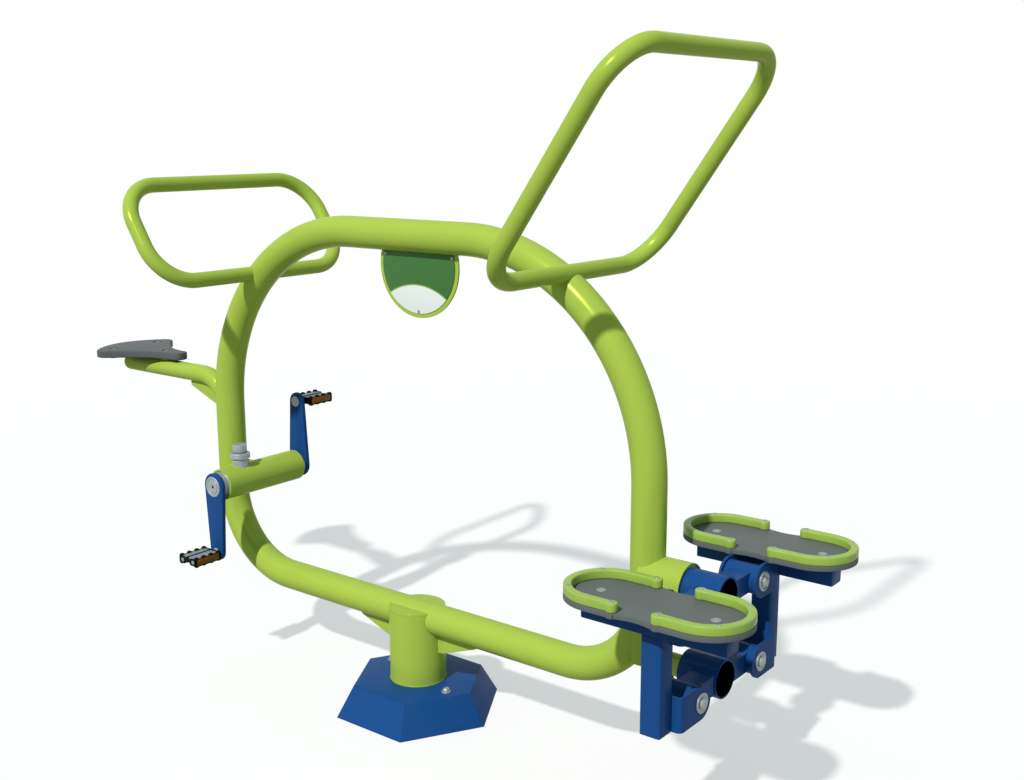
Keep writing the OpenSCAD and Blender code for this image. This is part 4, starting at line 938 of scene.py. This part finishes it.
def makePanelPlate():
    r = plaque["d"] / 2 - plaque["border"]
    a = math.degrees(math.asin((plaque["top"] - plaque["z"]) / r))
    outline = arcPoints(plaque["x"], plaque["z"], r, 180 - a, 360 + a, plaque["arcSteps"])
    plate = moved(prism(outline, -plaque["back"], -plaque["front"]), standUp)
    return bevelled(plate, plaque["edge"], segments=2, angle=40)


addPiece("plaquePanel", makePanelPlate(), "frame", "panelPrint", ["plaque_panel"])
screwSpots = [onCircle(plaque["x"], plaque["z"], plaque["screwR"], a) for a in plaque["angles"]]
screwPlaces = [(x, plaque["front"], z) for x, z in screwSpots]
plaqueHeads = setFasteners(screwPlaces, buttonHead(**plaque["head"]), "stainless", turn=(math.pi / 2, 0, 0))
addPiece("plaqueScrews", plaqueHeads, "frame", "stainless", ["plaque_screws"], 40)
print("plaque done")


# Stepper: the rear step is drawn, the front one is its mirror image

step = {"hubEnd": 852, "hubZ": {"upper": 483.5, "lower": 304.5}, "x": 824.5, "pivotY": 125, "cheek": 43.5,
        "postY": 226, "bar": 46, "wall": 4, "postFoot": 269, "corner": 5, "innerCorner": 2,
        "beamZ": 472.5, "beam": 48, "beamLen": 320, "beamY": 227, "beamEdge": 1.2,
        "plateY": 230, "plateZ": 520.5, "plateT": 11, "plateEdge": 1.6, "lobeX": 109.5, "lobeR": 88.5,
        "waistHalf": 80, "waistR": 118.1, "bossX": 49.5, "bossY": 80, "bossR": 12, "gap": 0.2,
        "curbW": 17, "curbH": 19, "curbEdge": 3.2, "boltX": 126, "screwAngle": 47,
        "screw": {"d": 10, "h": 1.5, "socket": 4, "depth": 0.9},
        "plug": [(0, -4.6), (37.2, -4.6), (37.2, -0.1), (35, -0.1), (35, 2.6), (33.8, 3.8), (31.6, 4),
                 (30.2, 3.2), (0, 2.6)],
        "pivot": [(0, 0.02), (21, 0.02), (21, 2.9), (20.3, 3.7), (18.9, 4), (17.4, 3.7), (16.2, 2.2),
                  (12.6, 1.5), (11.9, 1.5), (11.7, 4.6), (10.9, 5.2), (10.3, 6.8), (8.6, 8.8),
                  (5.6, 10.3), (2.6, 10.9), (0, 11)],
        "bolt": [(0, -0.3), (10, -0.3), (10, 0.9), (9.3, 1.6), (7.6, 2), (3.4, 2.1), (3.1, 1.6), (0, 1.6)]}
plateTop = step["plateZ"] + step["plateT"]
curbTop = plateTop + step["curbH"]
bossLift = math.degrees(math.asin((step["lobeR"] - step["bossY"]) / step["bossR"]))

for level, z in step["hubZ"].items():
    plug = moved(lathe(step["plug"], steps=72), at(step["hubEnd"], 0, z) @ alongX)
    addPiece(level + "Plug", plug, level + "_rocker", "plugBlack", [level + "_hub_plug"])


def plateOutline():
    centre = step["waistHalf"] + step["waistR"]
    reach = math.sqrt(step["waistR"] ** 2 - (centre - step["lobeR"]) ** 2)
    swing = math.degrees(math.asin(reach / step["waistR"]))
    quarter = arcPoints(step["lobeX"], 0, step["lobeR"], 0, 90, steps=26)
    quarter += arcPoints(step["bossX"], step["bossY"], step["bossR"], bossLift, 180 - bossLift, steps=8)
    quarter += arcPoints(0, centre, step["waistR"], -90 + swing, -90, steps=10)
    upper = cleanOutline(quarter + [(-x, y) for x, y in reversed(quarter[:-1])], step["gap"])
    return bothHalves(upper, step["gap"])


def curbOutline():
    r, b = step["lobeR"], step["bossR"]
    q = r - step["curbW"]
    dip = math.degrees(math.asin((q - step["bossY"]) / b))
    out = arcPoints(step["lobeX"], 0, r, -90, 90, steps=48)
    out += arcPoints(step["bossX"], step["bossY"], b, bossLift, 360 + dip, steps=24)
    out += arcPoints(step["lobeX"], 0, q, 90, -90, steps=40)
    out += arcPoints(step["bossX"], -step["bossY"], b, -dip, 360 - bossLift, steps=24)
    return cleanOutline(out, step["gap"])


def makeStepPlate():
    board = prism(plateOutline(), step["plateZ"], plateTop)
    board = bevelled(board, step["plateEdge"], segments=3, angle=50)
    return moved(board, at(step["x"], step["plateY"], 0))


def makeCurbs():
    parts = []
    for turn in (0, 180):
        curb = bevelled(prism(curbOutline(), plateTop, curbTop), step["curbEdge"], segments=4, angle=50)
        parts.append(moved(curb, Matrix.Rotation(math.radians(turn), 4, "Z")))
    return moved(joinMeshes("curbs", parts), at(step["x"], step["plateY"], 0))


def makePost():
    bore = step["bar"] - 2 * step["wall"]
    outer = rounded(step["bar"], step["bar"], step["corner"], steps=5)
    inner = rounded(bore, bore, step["innerCorner"], steps=3)
    tube = prism(outer, step["postFoot"], step["beamZ"], [list(reversed(inner))])
    return moved(tube, at(step["x"], step["postY"], 0))


def makeBeam():
    half = step["beamLen"] / 2
    section = rounded(step["beam"], step["beam"], step["corner"], steps=5)
    bar = bevelled(prism(section, -half, half), step["beamEdge"], segments=2, angle=50)
    return moved(bar, at(step["x"], step["beamY"], step["beamZ"] + step["beam"] / 2) @ alongX)


def curbScrewPlaces():
    spots = [(step["bossX"], step["bossY"]),
             onCircle(step["lobeX"], 0, step["lobeR"] - step["curbW"] / 2, step["screwAngle"])]
    return [(step["x"] + sx * x, step["plateY"] + sy * y, curbTop)
            for x, y in spots for sx in (-1, 1) for sy in (-1, 1)]


def makeStepFasteners():
    parts = []
    for side in (-1, 1):
        spots = [(step["x"] + side * step["cheek"], step["pivotY"], z) for z in step["hubZ"].values()]
        pin = lathe(step["pivot"], steps=48)
        parts.append(setFasteners(spots, pin, "stainless", turn=(0, side * math.pi / 2, 0)))
    boltSpots = [(step["x"] + side * step["boltX"], step["plateY"], plateTop) for side in (-1, 1)]
    parts.append(setFasteners(boltSpots, lathe(step["bolt"], steps=36), "stainless"))
    parts.append(setFasteners(curbScrewPlaces(), buttonHead(**step["screw"]), "stainless", spread=1.0))
    return joinMeshes("stepFasteners", parts)


for side, place in (("rear", Matrix.Identity(4)), ("front", mirrorY)):
    for part, maker, slot, material, smooth in (
        ("footplate", makeStepPlate, "grey_plastic", "footGrey", 30),
        ("curbs", makeCurbs, "lime_plastic", "curbLime", 40),
        ("post", makePost, "blue_paint", "bluePaint", 30),
        ("beam", makeBeam, "blue_paint", "bluePaint", 30),
        ("fasteners", makeStepFasteners, "steel", "stainless", 40),
    ):
        mesh, old = moved(maker(), place), [side + "_" + part]
        addPiece(side + part.capitalize(), mesh, side + "_step", material, old, smooth)
print("stepper done")


# Stage, light and camera

stageLight = {"world": 0.33, "worldTone": (0.72, 1.0, 1.08), "sun": 3.15, "sunAngle": 2.0,
              "direction": (-0.096, 1.0, -1.0), "floor": (1.02, 0.965, 0.94), "floorHalf": 40, "rough": 0.9,
              "specular": 0.1, "bounce": 0.3, "glow": 0.5}
view = {"place": (1.9784, -2.1487, 1.41), "yaw": 38.007, "pitch": 11.783, "roll": -0.151,
        "focalPixels": 1248.09, "widthPixels": 1024, "sensor": 36}
white = (1, 1, 1, 1)


def seenAsBackdrop(tree):
    # 1 for what the camera, a reflection or a clear part sees, 0 for light that is thrown back
    path = addNode(tree, "ShaderNodeLightPath")
    out = path.outputs["Is Camera Ray"]
    for name in ("Is Glossy Ray", "Is Transmission Ray"):
        out = mathNode(tree, "MAXIMUM", out, path.outputs[name])
    return out


def makeStage():
    # pale to the eye and in reflections, a plain mid tone where it throws light back
    half = stageLight["floorHalf"]
    corners = [(-half, -half, 0), (half, -half, 0), (half, half, 0), (-half, half, 0)]
    floor = newObject("floor", meshFrom("floor", corners, [(0, 1, 2, 3)]))
    mat = bpy.data.materials.new("paleFloor")
    mat.use_nodes = True
    tree = mat.node_tree
    seen = seenAsBackdrop(tree)
    mid = (*[stageLight["bounce"]] * 3, 1)
    pale = (*[v * (1 - stageLight["glow"]) for v in stageLight["floor"]], 1)
    # part of the white the eye sees comes from the floor itself, so that the object's shadow on it is light
    feed(tree.nodes["Principled BSDF"], {
        "Roughness": stageLight["rough"], "Specular IOR Level": stageLight["specular"],
        "Base Color": mixNode(tree, seen, mid, pale), "Emission Color": white,
        "Emission Strength": mathNode(tree, "MULTIPLY", seen, stageLight["glow"])})
    floor.data.materials.append(mat)


def makeLight():
    world = bpy.data.worlds.new("world")
    bpy.context.scene.world = world
    world.use_nodes = True
    tree = world.node_tree
    plain = feed(tree.nodes["Background"], {
        "Color": (*stageLight["worldTone"], 1), "Strength": stageLight["world"]})
    shown = addNode(tree, "ShaderNodeBackground", {"Color": white, "Strength": 1.0})
    mix = addNode(tree, "ShaderNodeMixShader", {
        "Fac": seenAsBackdrop(tree), 1: plain.outputs[0], 2: shown.outputs[0]})
    feed(tree.nodes["World Output"], {"Surface": mix.outputs[0]})
    sun = bpy.data.lights.new("sun", "SUN")
    sun.energy = stageLight["sun"]
    sun.angle = math.radians(stageLight["sunAngle"])
    lamp = newObject("sun", sun)
    lamp.rotation_mode = "QUATERNION"
    lamp.rotation_quaternion = Vector(stageLight["direction"]).to_track_quat("-Z", "Y")


def makeCamera():
    yaw, pitch, roll = (math.radians(view[name]) for name in ("yaw", "pitch", "roll"))
    back = Vector((math.sin(yaw) * math.cos(pitch), -math.cos(yaw) * math.cos(pitch), math.sin(pitch)))
    level = Vector((math.cos(yaw), math.sin(yaw), 0))
    right = level * math.cos(roll) + back.cross(level) * math.sin(roll)
    up = back.cross(right)
    cam = bpy.data.cameras.new("camera")
    cam.sensor_width = view["sensor"]
    cam.lens = view["focalPixels"] / view["widthPixels"] * view["sensor"]
    obj = newObject("camera", cam)
    obj.matrix_world = Matrix.Translation(view["place"]) @ Matrix((right, up, back)).transposed().to_4x4()
    bpy.context.scene.camera = obj


makeStage()
makeLight()
makeCamera()
bpy.context.scene.view_settings.view_transform = "Standard"
print("stage done")
